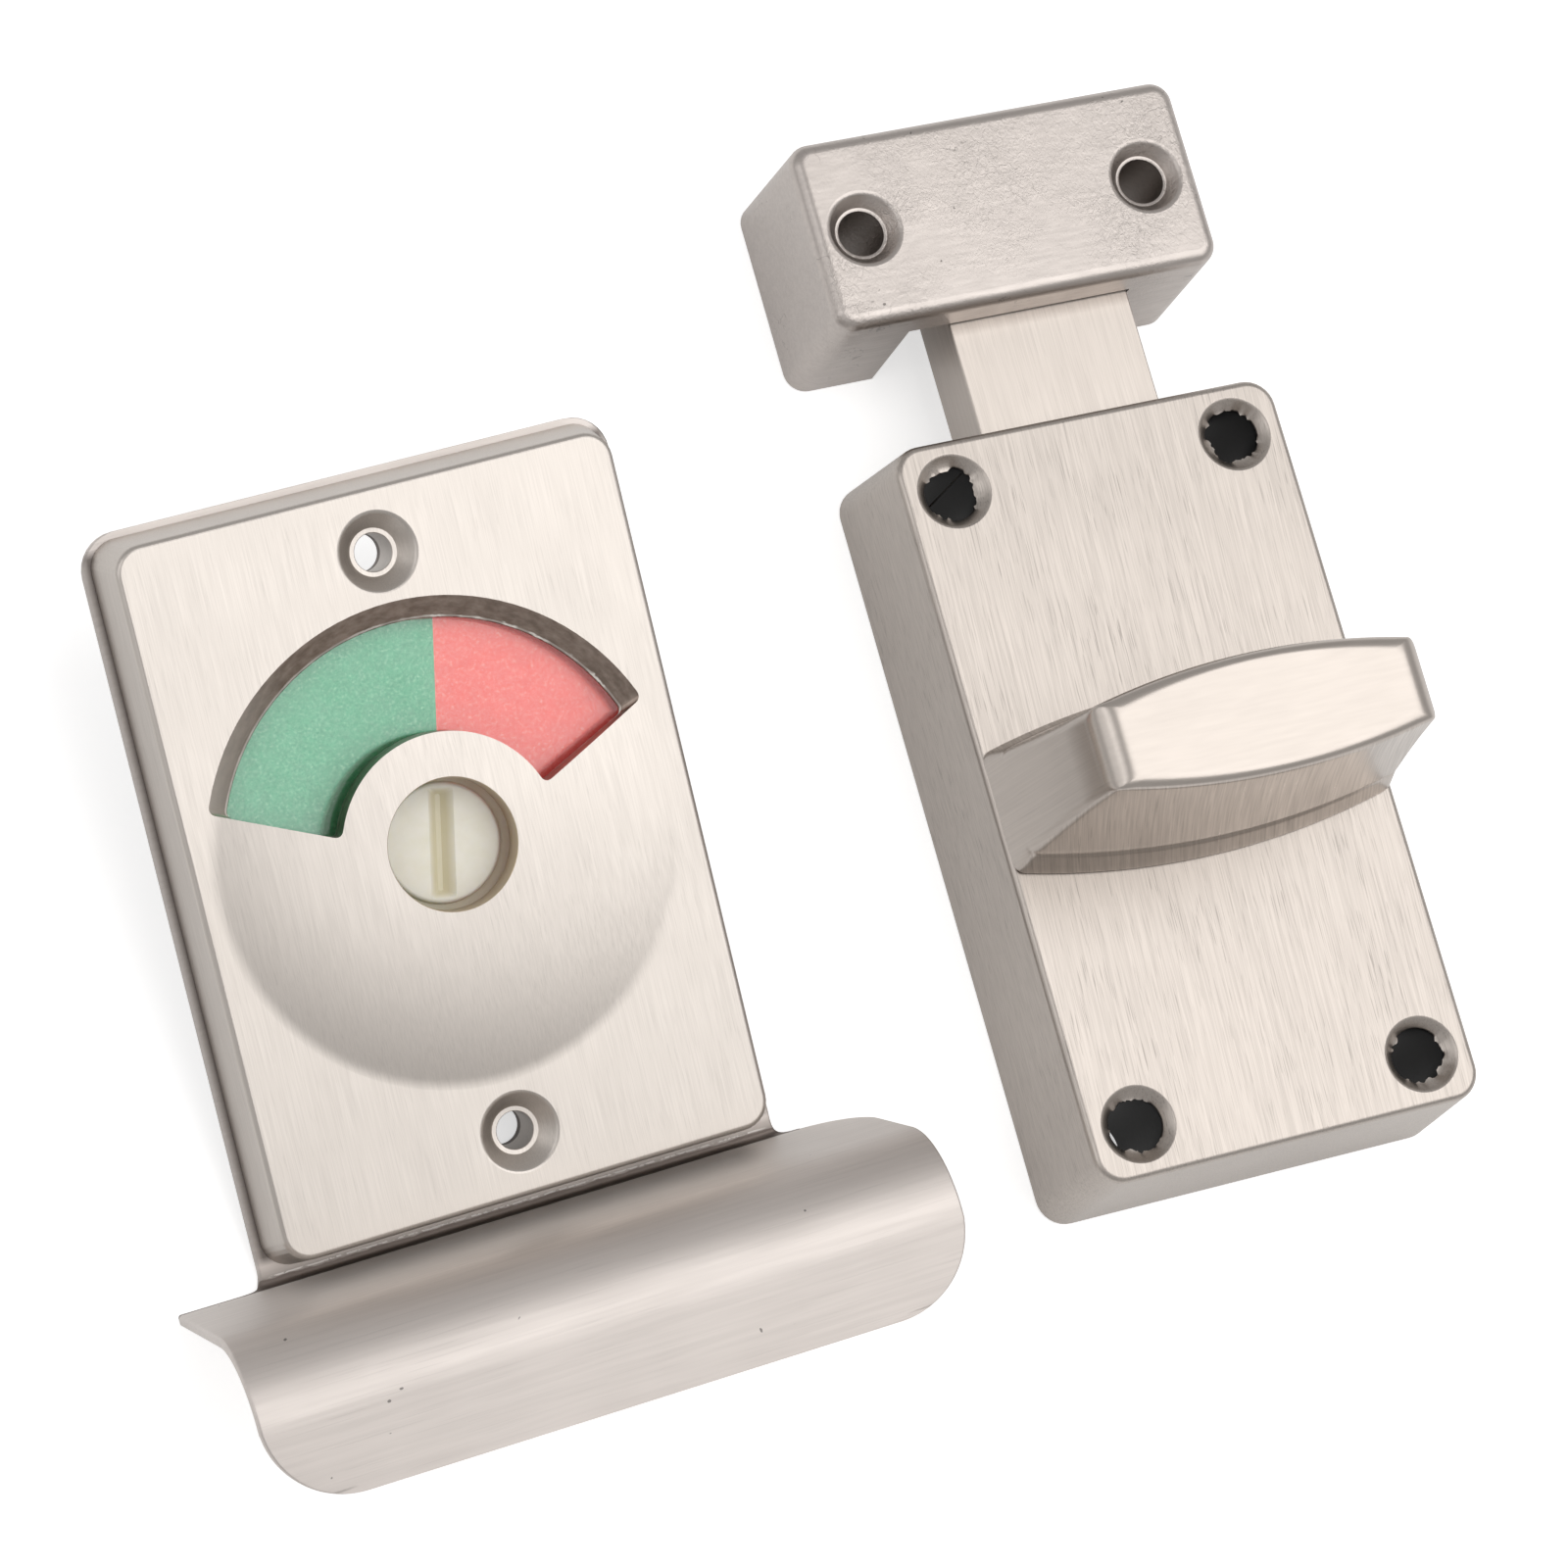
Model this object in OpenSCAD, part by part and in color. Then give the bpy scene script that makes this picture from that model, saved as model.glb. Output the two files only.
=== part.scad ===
// Toilet indicator bolt: a case with a thumb turn and a sliding bolt, its keeper, and the
// indicator unit with a pull plate that goes on the other face of the door.
// Millimetres, +Z up. The units lie on Z = 0, and the origin is the centre of the case's screws.

/* [Case] */
// Width of the case at its front face
case_w = 44.9; // [44:0.1:50]
// Length of the case at its front face
case_l = 82; // [81:0.5:95]
// Depth of the case, from the door to its front face
case_d = 18.2; // [17.4:0.1:24]
// How far each side of the case leans out on its way down to the door
case_lean = 1.1; // [0.4:0.1:1.6]
// Corner radius of the case
case_r = 3.2; // [2.8:0.1:4.6]
// Radius along the front edges of the case
case_edge_r = 0.8; // [0.3:0.1:1.5]
// Side wall of the case
case_wall = 2.2; // [1.8:0.1:2.8]
// Thickness of the case's front
case_front_t = 2.4; // [2:0.1:2.8]
// Spacing of the case's screws across
case_screw_x = 33.2; // [32.6:0.1:33.8]
// Spacing of the case's screws along
case_screw_y = 70.6; // [69:0.1:71.2]

/* [Fixing screws] */
// Radius of the screw holes in the case and the keeper
screw_r = 2.6; // [2.2:0.05:2.9]
// Radius of their countersinks at the surface
sink_r = 4.07; // [3.8:0.01:4.4]
// Depth of their countersinks
sink_t = 1.5; // [1.2:0.1:1.9]
// Wall of the hollow pillar behind each screw hole of the case
pillar_wall = 1.2; // [0.9:0.1:1.4]

/* [Bolt] */
// Width of the bolt
bolt_w = 21.2; // [21:0.1:22]
// Thickness of the bolt
bolt_t = 9; // [7:0.1:9.4]
// How far the bolt stands out of the case when it is drawn back
bolt_proud = 0.6; // [0.2:0.1:1.5]
// How far the bolt's front lies behind the inner side of the case's front
bolt_set_back = 0.8; // [0.75:0.05:1.2]
// Wall between the rack window and the bolt's tail end
bolt_tail_wall = 3.5; // [2.5:0.1:5]

/* [Drive] */
// Module of the rack and the pinion
tooth_m = 1; // [0.96:0.01:1.04]
// Teeth of the pinion, an odd number
pinion_teeth = 13; // [11, 13]
// Angle that the thumb turn swings through, in degrees
turn_swing = 180; // [150:5:180]
// Radius of the thumb turn's journal
journal_r = 6; // [5:0.1:6.2]
// Radius of the shank behind the journal
shank_r = 3.9; // [3.6:0.1:4.2]
// Distance across the flats of the shank
shank_flats = 6.4; // [6.2:0.1:6.8]

/* [Thumb turn] */
// Length of the thumb turn at its base
turn_l = 44.4; // [38:0.1:44.8]
// Width of its base at the middle
turn_w = 18.9; // [17.8:0.1:22]
// Width of its base at the ends
turn_end_w = 13.8; // [12:0.1:16]
// Height of the thumb turn above the case
turn_h = 25.6; // [18:0.1:30]
// Length of its top
turn_top_l = 37.6; // [30:0.1:40]
// Width of its top at the middle
turn_top_w = 13.2; // [11:0.1:15]
// Width of its top at the ends
turn_top_end_w = 9.2; // [7:0.1:10.5]
// Height of the flared foot
turn_foot_h = 4; // [2:0.1:6]
// How far the foot flares out on each side
turn_flare = 1.1; // [0.4:0.1:1.6]
// Radius along the top edges
turn_edge_r = 1.4; // [0.6:0.1:2]

/* [Keeper] */
// Width of the keeper
keeper_w = 45.2; // [43.6:0.1:50]
// Length of the keeper along the bolt
keeper_l = 21.4; // [20:0.1:26]
// Depth of the keeper, from the frame to its front face
keeper_d = 20.5; // [19.5:0.1:26]
// How far each side of the keeper leans out on its way down
keeper_lean = 0.4; // [0.1:0.1:1]
// Corner radius of the keeper
keeper_r = 2.4; // [2:0.1:4.5]
// Radius along the front edges of the keeper
keeper_edge_r = 1.5; // [0.6:0.1:2]
// Gap between the case and the keeper
keeper_gap = 13.4; // [8:0.1:14]
// How far the keeper lies to the left of the case's centre line
keeper_aside = 2.3; // [0:0.1:2.3]
// Width of the keeper's slot
keeper_slot_w = 26.2; // [26.2:0.1:27]
// How far the slot goes into the keeper
keeper_slot_l = 14.5; // [14:0.1:16]
// Gap between the bolt's front and the roof of the slot
keeper_roof_gap = 0.4; // [0.2:0.1:1.5]
// Spacing of the keeper's screws
keeper_screw_x = 33.2; // [32.8:0.1:33.8]

/* [Indicator cover] */
// Width of the cover at its front face
cover_w = 53.8; // [53:0.1:55.5]
// Length of the cover at its front face
cover_l = 74.8; // [73:0.1:80]
// Depth of the cover
cover_d = 6.5; // [6.3:0.1:7.5]
// How far each side of the cover leans out on its way down
cover_lean = 0.9; // [0.3:0.1:1]
// Corner radius of the cover
cover_r = 3; // [2:0.1:4]
// Radius along the front edges of the cover
cover_edge_r = 0.7; // [0.3:0.1:1]
// Side wall of the cover
cover_wall = 1.8; // [1.4:0.1:1.9]
// Thickness of the cover's front
cover_front_t = 1.5; // [1.3:0.1:1.6]
// Radius of the dome
dome_r = 24.7; // [24:0.1:25]
// Height of the dome
dome_rise = 1.5; // [0.8:0.1:2]
// Radius of the centre hole
centre_r = 6.85; // [6.4:0.05:7.5]
// Spacing of the cover's screws
cover_screw_y = 61.4; // [61:0.1:61.8]
// Radius of the cover's screw holes
cover_screw_r = 2; // [1.8:0.05:2.2]
// Radius of the ledge at the bottom of the cover's countersinks
cover_ledge_r = 2.5; // [2.4:0.05:2.8]
// Radius of the cover's countersinks at the surface
cover_sink_r = 4.15; // [3.9:0.05:4.4]
// Depth of the cover's countersinks
cover_sink_t = 1.75; // [1.4:0.05:2]

/* [Window] */
// Outer radius of the window at the bottom of its bevel
window_r = 23.2; // [22.6:0.1:23.4]
// Width of the bevel along the window's outer edge
window_bevel = 2.2; // [1:0.1:2.3]
// Inner radius of the window
window_in_r = 11.6; // [10:0.1:13]
// Angle of each straight edge from the upright, in degrees
window_half = 65; // [55:1:70]
// How far below the centre the straight edges would meet
window_drop = 1.7; // [0:0.1:3]
// Thickness of the lens
lens_t = 1; // [0.8:0.05:1.1]

/* [Indicator disc] */
// Radius of the disc
disc_r = 24; // [23.6:0.1:24.2]
// Thickness of the disc
disc_t = 1.1; // [0.9:0.1:1.2]
// Gap between the lens and the disc's front
disc_gap = 0.8; // [0.6:0.1:0.9]
// Thickness of the coloured films
film_t = 0.15; // [0.1:0.01:0.2]
// Radius of the raised middle that shows in the centre hole
boss_r = 6.3; // [5.6:0.1:6.3]
// Height of the raised middle above the disc
boss_h = 0.7; // [0.4:0.1:0.75]
// Length of the coin slot
slot_l = 11.4; // [9:0.1:11.4]
// Width of the coin slot
slot_w = 2.6; // [2:0.1:3]
// Depth of the coin slot
slot_t = 1.3; // [0.8:0.1:1.4]
// Angle of the disc at rest, in degrees, negative to the right
disc_rest = -12; // [-30:1:30]
// Radius of the hub behind the disc
hub_r = 5.95; // [5:0.05:6.2]
// Side of the square drive tail
tail_sq = 4; // [3.6:0.1:4]

/* [Pull plate] */
// Width of the plate
plate_w = 57.4; // [57.4:0.1:60]
// How far the plate stands above the cover's upper edge
plate_top_rim = 1.6; // [1:0.1:4]
// Thickness of the sheet
plate_t = 1.2; // [1:0.1:1.5]
// Corner radius at the top of the plate
plate_r = 4; // [2:0.1:6]
// How far the shelf lies below the cover's lower edge
shelf_drop = 2.5; // [2.5:0.1:6]
// Width of the lip
lip_w = 76; // [68:0.5:90]
// How far the lip stands in front of the plate
lip_reach = 26.8; // [16:0.1:32]
// How far the lip reaches down from the shelf
lip_drop = 17.2; // [12:0.1:24]
// Outer radius of the bend from the shelf into the lip
lip_bend_r = 9; // [4:0.1:12]
// Radius of the lip's lower corners
lip_corner_r = 9; // [4:0.1:11]
// Inner radius of the sharp bend between the plate and the shelf
fold_r = 0.6; // [0.3:0.1:1.2]
// Radius of the fillets where the wings leave the plate
wing_r = 2.5; // [1.5:0.1:4]

/* [Layout] */
// Place of the indicator unit to the left of the case
indicator_x = -80.6; // [-90:0.1:-78]
// Place of the indicator unit along the case
indicator_y = 9.5; // [-10:0.1:20]
// Tilt of the indicator unit, which rests on its fold and on its drive tail, in degrees
indicator_tilt = 16.5; // [10:0.5:20]
// Turn of the indicator unit in plan, in degrees
indicator_turn = 3; // [0:0.5:6]

/* [Fits] */
// Gap on each side of the bolt in its guides
slide_gap = 0.15; // [0.1:0.05:0.2]
// Radial clearance of shafts that turn in a bush
running_gap = 0.05; // [0.03:0.01:0.08]
// Clearance of parts that are fitted and stay put
fit_gap = 0.02; // [0.01:0.01:0.04]
// Gap between turning faces and the faces beside them
face_gap = 0.3; // [0.25:0.05:0.35]

/* [Hidden] */

$fn = 64;
// Overshoot of cuts, and overlap of joined shapes
cut = 1;
lap = 0.5;
// Thickness of the slices that hulls run between, and the least radius of an inner corner
slice_t = 0.01;
least_r = 0.5;

// Levels of the bolt unit
case_under_z = case_d - case_front_t;
bolt_top_z = case_under_z - bolt_set_back;
bolt_z = bolt_top_z - bolt_t;
guide_z = bolt_z - slide_gap;
guide_t = 1.5;
guide_back_z = guide_z - guide_t;
turn_z = case_d + face_gap;

// Hollow of the case
case_in_w = case_w - 2 * case_wall;
case_in_l = case_l - 2 * case_wall;
case_in_r = max(case_r - case_wall, least_r);
pillar_room = 1.3;
pillar_bore_r = screw_r + pillar_room;
pillar_r = pillar_bore_r + pillar_wall;
case_screws = [for (sx = [-1, 1], sy = [-1, 1]) [sx * case_screw_x / 2, sy * case_screw_y / 2]];

// Guide ribs, and the bosses and screws of the guide plate
rib_t = 1.6;
rib_x = bolt_w / 2 + slide_gap;
boss_screw_r = 1.25;
boss_out_r = 2.8;
guide_screw_len = 6;
guide_head_r = 2.6;
guide_head_h = 1.6;
boss_clear = 0.4;
boss_x = rib_x + rib_t + boss_out_r + boss_clear;
boss_y = 22;
pillar_clear = 0.6;
guide_hole_play = 0.35;
guide_w = case_in_w - 2 * boss_clear;
guide_l = case_screw_y - 2 * (pillar_r + pillar_clear);
guide_screw_places = [for (sx = [-1, 1], sy = [-1, 1]) [sx * boss_x, sy * boss_y]];

// Bush of the thumb turn
bush_in_r = journal_r + running_gap;
bush_wall = 1.45;
bush_lip = 1.3;
bush_out_r = bush_in_r + bush_wall;
bush_flange_r = bush_out_r + bush_lip;
bush_flange_t = 0.7;
washer_t = 0.7;
washer_band = 1.9;
washer_play = 0.3;
washer_in_r = journal_r + washer_play;
washer_out_r = washer_in_r + washer_band;

// Rack and pinion
pressure = 20;
tooth_pitch = PI * tooth_m;
pinion_r = pinion_teeth * tooth_m / 2;
pinion_base_r = pinion_r * cos(pressure);
pinion_tip_r = pinion_r + tooth_m;
pinion_root_r = pinion_r - 1.25 * tooth_m;
rack_tip = 0.75 * tooth_m;
rack_root = 1.25 * tooth_m;
tooth_play = 0.06;
pinion_gap = 0.3;
pinion_h = bolt_t - 2 * pinion_gap;
stroke = pinion_r * turn_swing * PI / 180;
rack_teeth = ceil(stroke / tooth_pitch) + 1;

// Bolt: its window lets the pinion pass, and its nose reaches into the keeper
window_play = 0.5;
bolt_nose_y = case_l / 2 + bolt_proud + stroke;
rack_window_lo = -pinion_tip_r - window_play;
rack_window_hi = stroke + pinion_tip_r + window_play;
bolt_tail_y = rack_window_lo - bolt_tail_wall;
bolt_chamfer = 0.8;

// Shank of the thumb turn and the square socket in its end
clip_t = 0.8;
clip_gap = 0.15;
clip_band = 2.2;
clip_mouth = 1.6;
clip_z = guide_back_z - clip_gap - clip_t;
shank_end_z = clip_z - clip_t;
groove_cut = 0.6;
groove_play = 0.05;
journal_z = bolt_top_z + slide_gap;
socket_play = 0.1;
socket_sq = tail_sq + 2 * socket_play;
socket_l = 10;

// Keeper
keeper_y = case_l / 2 + keeper_gap + keeper_l / 2;
keeper_slot_h = bolt_top_z + keeper_roof_gap;

// Levels of the indicator unit, in its own frame with Z = 0 on the cover's front face
cover_under_z = -cover_front_t;
lens_back_z = cover_under_z - lens_t;
disc_z = lens_back_z - disc_gap;
disc_back_z = disc_z - disc_t;
boss_z = disc_z + boss_h;
cover_back_z = -cover_d;
carrier_t = 1.2;
carrier_z = cover_back_z + carrier_t;
plate_back_z = cover_back_z - plate_t;

cover_in_w = cover_w - 2 * cover_wall;
cover_in_l = cover_l - 2 * cover_wall;
cover_in_r = max(cover_r - cover_wall, least_r);
column_wall = 0.7;
column_r = cover_sink_r + column_wall;
carrier_boss_r = 2.6;
carrier_screw_r = 1.2;
carrier_head_r = 2.3;
carrier_head_h = 1;
carrier_screw_len = cover_d - cover_front_t - 0.6;
carrier_hole_play = 0.1;
carrier_play = 0.15;
notch_r = column_r + carrier_play;
carrier_inset = carrier_boss_r + 2.6;
carrier_places = [for (sx = [-1, 1], sy = [-1, 1])
  [sx * (cover_in_w / 2 - carrier_inset), sy * (cover_in_l / 2 - carrier_inset)]];

lens_play = 0.2;
lens_r = cover_in_w / 2 - lens_play;
lens_in_r = centre_r + 2;
film_r = disc_r - 0.1;
film_in_r = boss_r + 1.5;
boss_chamfer = 0.4;

// Bush, ring, washer and clip on the hub
hub_bore_r = hub_r + running_gap;
rear_bush_wall = 1.6;
rear_bush_stub = 0.9;
rear_flange_band = 2.4;
end_play = 0.1;
ring_t = 1;
ring_band = 2.9;
ring_gap = 0.05;
friction_t = 0.5;
hub_groove_cut = 0.7;
tail_head_t = 0.6;
rear_bush_r = hub_bore_r + rear_bush_wall;
rear_flange_r = rear_bush_r + rear_flange_band;
rear_flange_z = disc_back_z - end_play;
rear_bush_end_z = plate_back_z - ring_t - rear_bush_stub;
ring_r = rear_bush_r + ring_band;
hub_clip_z = rear_bush_end_z - friction_t - end_play - clip_t;
hub_end_z = hub_clip_z - clip_t;
tail_top_z = disc_back_z - tail_head_t;

// Pull plate
plate_top_y = cover_l / 2 + plate_top_rim;
shelf_y = -cover_l / 2 - shelf_drop;
fold_y = shelf_y + fold_r;
fold_z = cover_back_z + fold_r;
lip_z = cover_back_z + lip_reach;
lip_end_y = shelf_y - lip_drop;

// Height of the indicator unit: the outside of its fold touches Z = 0, and so does its tail
indicator_z = (fold_r + plate_t) - fold_y * sin(indicator_tilt) - fold_z * cos(indicator_tilt);
tail_end_z = -(indicator_z - tail_sq / sqrt(2) * sin(indicator_tilt)) / cos(indicator_tilt);

function flank_turn(r) = let (t = sqrt(max(pow(r / pinion_base_r, 2) - 1, 0))) t * 180 / PI - atan(t);
function polar(r, a) = [r * cos(a), r * sin(a)];

module at_indicator() {
  translate([indicator_x, indicator_y, indicator_z])
    rotate([0, 0, indicator_turn])
      rotate([indicator_tilt, 0, 0])
        children();
}

// Rectangle with round corners, as true arcs
module rounded_rect(w, l, r) {
  square([w - 2 * r, l], center = true);
  square([w, l - 2 * r], center = true);
  for (sx = [-1, 1], sy = [-1, 1])
    translate([sx * (w / 2 - r), sy * (l / 2 - r)]) circle(r = r);
}

// Corner of a cast block: a disc with a rounded upper edge
module corner_cap(r, edge_r) {
  arc = [for (a = [0 : 22.5 : 90]) [r - edge_r * (1 - cos(a)), edge_r * sin(a)]];
  rotate_extrude($fn = 32) polygon(concat([[0, 0]], arc, [[0, edge_r]]));
}

// Cast block whose sides lean out towards its back
module cast_block(w, l, d, lean, r, edge_r) {
  hull()
    for (sx = [-1, 1], sy = [-1, 1]) {
      translate([sx * (w / 2 + lean - r), sy * (l / 2 + lean - r), 0])
        cylinder(r = r, h = slice_t, $fn = 32);
      translate([sx * (w / 2 - r), sy * (l / 2 - r), d - edge_r])
        corner_cap(r, edge_r);
    }
}

// Cone of a countersink that opens at height z
module sink(z, depth, r_in, r_out) {
  slope = (r_out - r_in) / depth;
  translate([0, 0, z - depth])
    cylinder(h = depth + cut, r1 = r_in, r2 = r_out + cut * slope);
}

// Flat ring
module ring(r_out, r_in, h) {
  linear_extrude(h) difference() {
    circle(r = r_out);
    circle(r = r_in);
  }
}

// Open ring with a gap towards -Y
module open_ring(r_out, r_in, h, gap) {
  difference() {
    ring(r_out, r_in, h);
    translate([-gap / 2, -r_out - cut, -cut]) cube([gap, r_out + cut, h + 2 * cut]);
  }
}

module bolt_housing() color("silver") difference() {
  union() {
    difference() {
      cast_block(case_w, case_l, case_d, case_lean, case_r, case_edge_r);
      translate([0, 0, -cut]) linear_extrude(case_under_z + cut)
        rounded_rect(case_in_w, case_in_l, case_in_r);
    }
    for (p = case_screws)
      translate(p) cylinder(r = pillar_r, h = case_under_z + lap);
    // Ribs beside the bolt, and pads in front of it
    for (side = [0, 1]) mirror([side, 0, 0]) {
      translate([rib_x, -case_in_l / 2 - lap, guide_z])
        cube([rib_t, case_in_l + 2 * lap, case_under_z - guide_z + lap]);
      translate([bush_flange_r + washer_play, -case_in_l / 2 - lap, bolt_top_z + slide_gap])
        cube([rib_x - bush_flange_r, case_in_l + 2 * lap, case_under_z - bolt_top_z - slide_gap + lap]);
    }
    for (p = guide_screw_places)
      translate([p.x, p.y, guide_z]) cylinder(r = boss_out_r, h = case_under_z - guide_z + lap);
  }
  for (p = case_screws) translate(p) {
    cylinder(r = screw_r, h = case_d);
    translate([0, 0, -cut]) cylinder(r = pillar_bore_r, h = case_under_z + cut);
    sink(case_d, sink_t, screw_r, sink_r);
  }
  for (p = guide_screw_places)
    translate([p.x, p.y, guide_z - cut])
      cylinder(r = boss_screw_r + fit_gap, h = guide_screw_len - guide_t + 2 * cut);
  translate([0, 0, case_under_z - cut])
    cylinder(r = bush_out_r + fit_gap, h = case_front_t + 2 * cut);
  // Way out for the bolt
  translate([-rib_x, case_in_l / 2 - cut, guide_z])
    cube([2 * rib_x, case_wall + case_lean + 2 * cut, bolt_t + 2 * slide_gap]);
}

// Plan outline with bowed long sides, w wide at the middle and end_w wide at the ends
module bowed_outline(l, w, end_w) {
  bow = (w - end_w) / 2;
  bow_r = (l * l / 4 + bow * bow) / (2 * bow);
  intersection() {
    translate([0, w / 2 - bow_r]) circle(r = bow_r, $fn = 240);
    translate([0, bow_r - w / 2]) circle(r = bow_r, $fn = 240);
    square([l, 2 * w], center = true);
  }
}

// Thin slice of the thumb turn at height z above its base, drawn in by inset
module turn_slice(z, l, w, end_w, inset) {
  translate([0, 0, turn_z + z - slice_t])
    linear_extrude(slice_t) bowed_outline(l - 2 * inset, w - 2 * inset, end_w - 2 * inset);
}

module turn_grip() {
  share = turn_foot_h / turn_h;
  waist_l = turn_l + (turn_top_l - turn_l) * share;
  waist_w = turn_w + (turn_top_w - turn_w) * share - turn_flare;
  waist_end_w = turn_end_w + (turn_top_end_w - turn_end_w) * share - turn_flare;
  body_h = turn_h - face_gap;
  soft = turn_edge_r * (1 - cos(45));
  hull() {
    turn_slice(slice_t, turn_l, turn_w, turn_end_w, 0);
    turn_slice(turn_foot_h, waist_l, waist_w, waist_end_w, 0);
  }
  hull() {
    turn_slice(turn_foot_h, waist_l, waist_w, waist_end_w, 0);
    turn_slice(body_h - turn_edge_r, turn_top_l, turn_top_w, turn_top_end_w, 0);
  }
  hull() {
    turn_slice(body_h - turn_edge_r, turn_top_l, turn_top_w, turn_top_end_w, 0);
    turn_slice(body_h - soft, turn_top_l, turn_top_w, turn_top_end_w, soft);
  }
  hull() {
    turn_slice(body_h - soft, turn_top_l, turn_top_w, turn_top_end_w, soft);
    turn_slice(body_h, turn_top_l, turn_top_w, turn_top_end_w, turn_edge_r);
  }
}

module shank_section(gap) {
  intersection() {
    circle(r = shank_r + gap);
    square([2 * shank_r + cut, shank_flats + 2 * gap], center = true);
  }
}

module thumb_turn() color("gainsboro") difference() {
  union() {
    turn_grip();
    translate([0, 0, journal_z])
      cylinder(r = journal_r, h = turn_z - journal_z + washer_t + lap);
    translate([0, 0, shank_end_z])
      linear_extrude(journal_z - shank_end_z + lap) shank_section(0);
  }
  // Recess for the spring washer
  translate([0, 0, turn_z - cut])
    ring(washer_out_r + washer_play, journal_r, washer_t - face_gap + end_play + cut);
  // Groove for the clip
  translate([0, 0, clip_z - groove_play])
    ring(shank_r + cut, shank_r - groove_cut, clip_t + 2 * groove_play);
  translate([-socket_sq / 2, -socket_sq / 2, shank_end_z - cut])
    cube([socket_sq, socket_sq, socket_l + cut]);
}

module turn_bush() color("ivory") {
  translate([0, 0, case_under_z]) ring(bush_out_r, bush_in_r, case_front_t);
  translate([0, 0, case_under_z - bush_flange_t]) ring(bush_flange_r, bush_in_r, bush_flange_t);
}

module turn_wave_washer() color("dimgray")
  translate([0, 0, case_d]) ring(washer_out_r, washer_in_r, washer_t);

module pinion_tooth() {
  half = 90 / pinion_teeth - tooth_play / pinion_r * 180 / PI + flank_turn(pinion_r);
  steps = 5;
  radii = [for (i = [0 : steps]) pinion_base_r + (pinion_tip_r - pinion_base_r) * i / steps];
  right = [for (r = radii) polar(r, flank_turn(r) - half)];
  left = [for (i = [steps : -1 : 0]) polar(radii[i], half - flank_turn(radii[i]))];
  foot_r = pinion_root_r - lap / 2;
  polygon(concat([polar(foot_r, -half)], right, left, [polar(foot_r, half)]));
}

module drive_pinion() color("goldenrod")
  translate([0, 0, bolt_z + pinion_gap]) linear_extrude(pinion_h) difference() {
    union() {
      circle(r = pinion_root_r);
      for (i = [0 : pinion_teeth - 1]) rotate((i + 0.5) * 360 / pinion_teeth) pinion_tooth();
    }
    shank_section(fit_gap);
  }

// Rack tooth that points towards the pinion
module rack_tooth() {
  half = tooth_pitch / 4 - tooth_play;
  tip = half - rack_tip * tan(pressure);
  root = half + rack_root * tan(pressure);
  polygon([[pinion_r - rack_tip, -tip], [pinion_r + rack_root, -root], [pinion_r + rack_root + lap, -root],
    [pinion_r + rack_root + lap, root], [pinion_r + rack_root, root], [pinion_r - rack_tip, tip]]);
}

module bolt_outline() {
  half = bolt_w / 2;
  polygon([[-half, bolt_tail_y], [half, bolt_tail_y], [half, bolt_nose_y - bolt_chamfer],
    [half - bolt_chamfer, bolt_nose_y], [bolt_chamfer - half, bolt_nose_y], [-half, bolt_nose_y - bolt_chamfer]]);
}

module sliding_bolt() color("silver")
  translate([0, 0, bolt_z]) linear_extrude(bolt_t) {
    difference() {
      bolt_outline();
      translate([-pinion_tip_r - window_play / 2, rack_window_lo])
        square([pinion_tip_r + window_play / 2 + pinion_r + rack_root, rack_window_hi - rack_window_lo]);
    }
    for (i = [-1 : rack_teeth]) translate([0, i * tooth_pitch]) rack_tooth();
  }

module guide_plate() color("slategray")
  translate([0, 0, guide_back_z]) linear_extrude(guide_t) difference() {
    rounded_rect(guide_w, guide_l, 2);
    circle(r = shank_r + running_gap);
    for (p = guide_screw_places) translate(p) circle(r = boss_screw_r + guide_hole_play);
  }

// Cross recess for small screws, cut upwards from z = 0
module cross_recess(size, depth) {
  for (a = [0, 90]) rotate(a)
    translate([-size / 2, -size / 8, -cut]) cube([size, size / 4, depth + cut]);
}

module guide_screws() color("dimgray")
  for (p = guide_screw_places) translate([p.x, p.y, guide_back_z - guide_head_h]) difference() {
    union() {
      cylinder(r = guide_head_r, h = guide_head_h);
      cylinder(r = boss_screw_r, h = guide_head_h + guide_screw_len);
    }
    cross_recess(1.2 * guide_head_r, guide_head_h / 2);
  }

module turn_clip() color("dimgray")
  translate([0, 0, clip_z])
    open_ring(shank_r + clip_band, shank_r - groove_cut + fit_gap, clip_t, clip_mouth * (shank_r - groove_cut));

module keeper_block() color("silver") translate([-keeper_aside, keeper_y, 0]) difference() {
  cast_block(keeper_w, keeper_l, keeper_d, keeper_lean, keeper_r, keeper_edge_r);
  translate([-keeper_slot_w / 2, -keeper_l / 2 - keeper_lean - cut, -cut])
    cube([keeper_slot_w, keeper_slot_l + keeper_lean + cut, keeper_slot_h + cut]);
  for (s = [-1, 1]) translate([s * keeper_screw_x / 2, 0, 0]) {
    translate([0, 0, -cut]) cylinder(r = screw_r, h = keeper_d + 2 * cut);
    sink(keeper_d, sink_t, screw_r, sink_r);
  }
}

// Wedge between the window's straight edges
module window_wedge() {
  reach = 2 * dome_r;
  polygon([[0, -window_drop], [reach * sin(window_half), reach * cos(window_half) - window_drop],
    [reach, reach], [-reach, reach], [-reach * sin(window_half), reach * cos(window_half) - window_drop]]);
}

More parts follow.
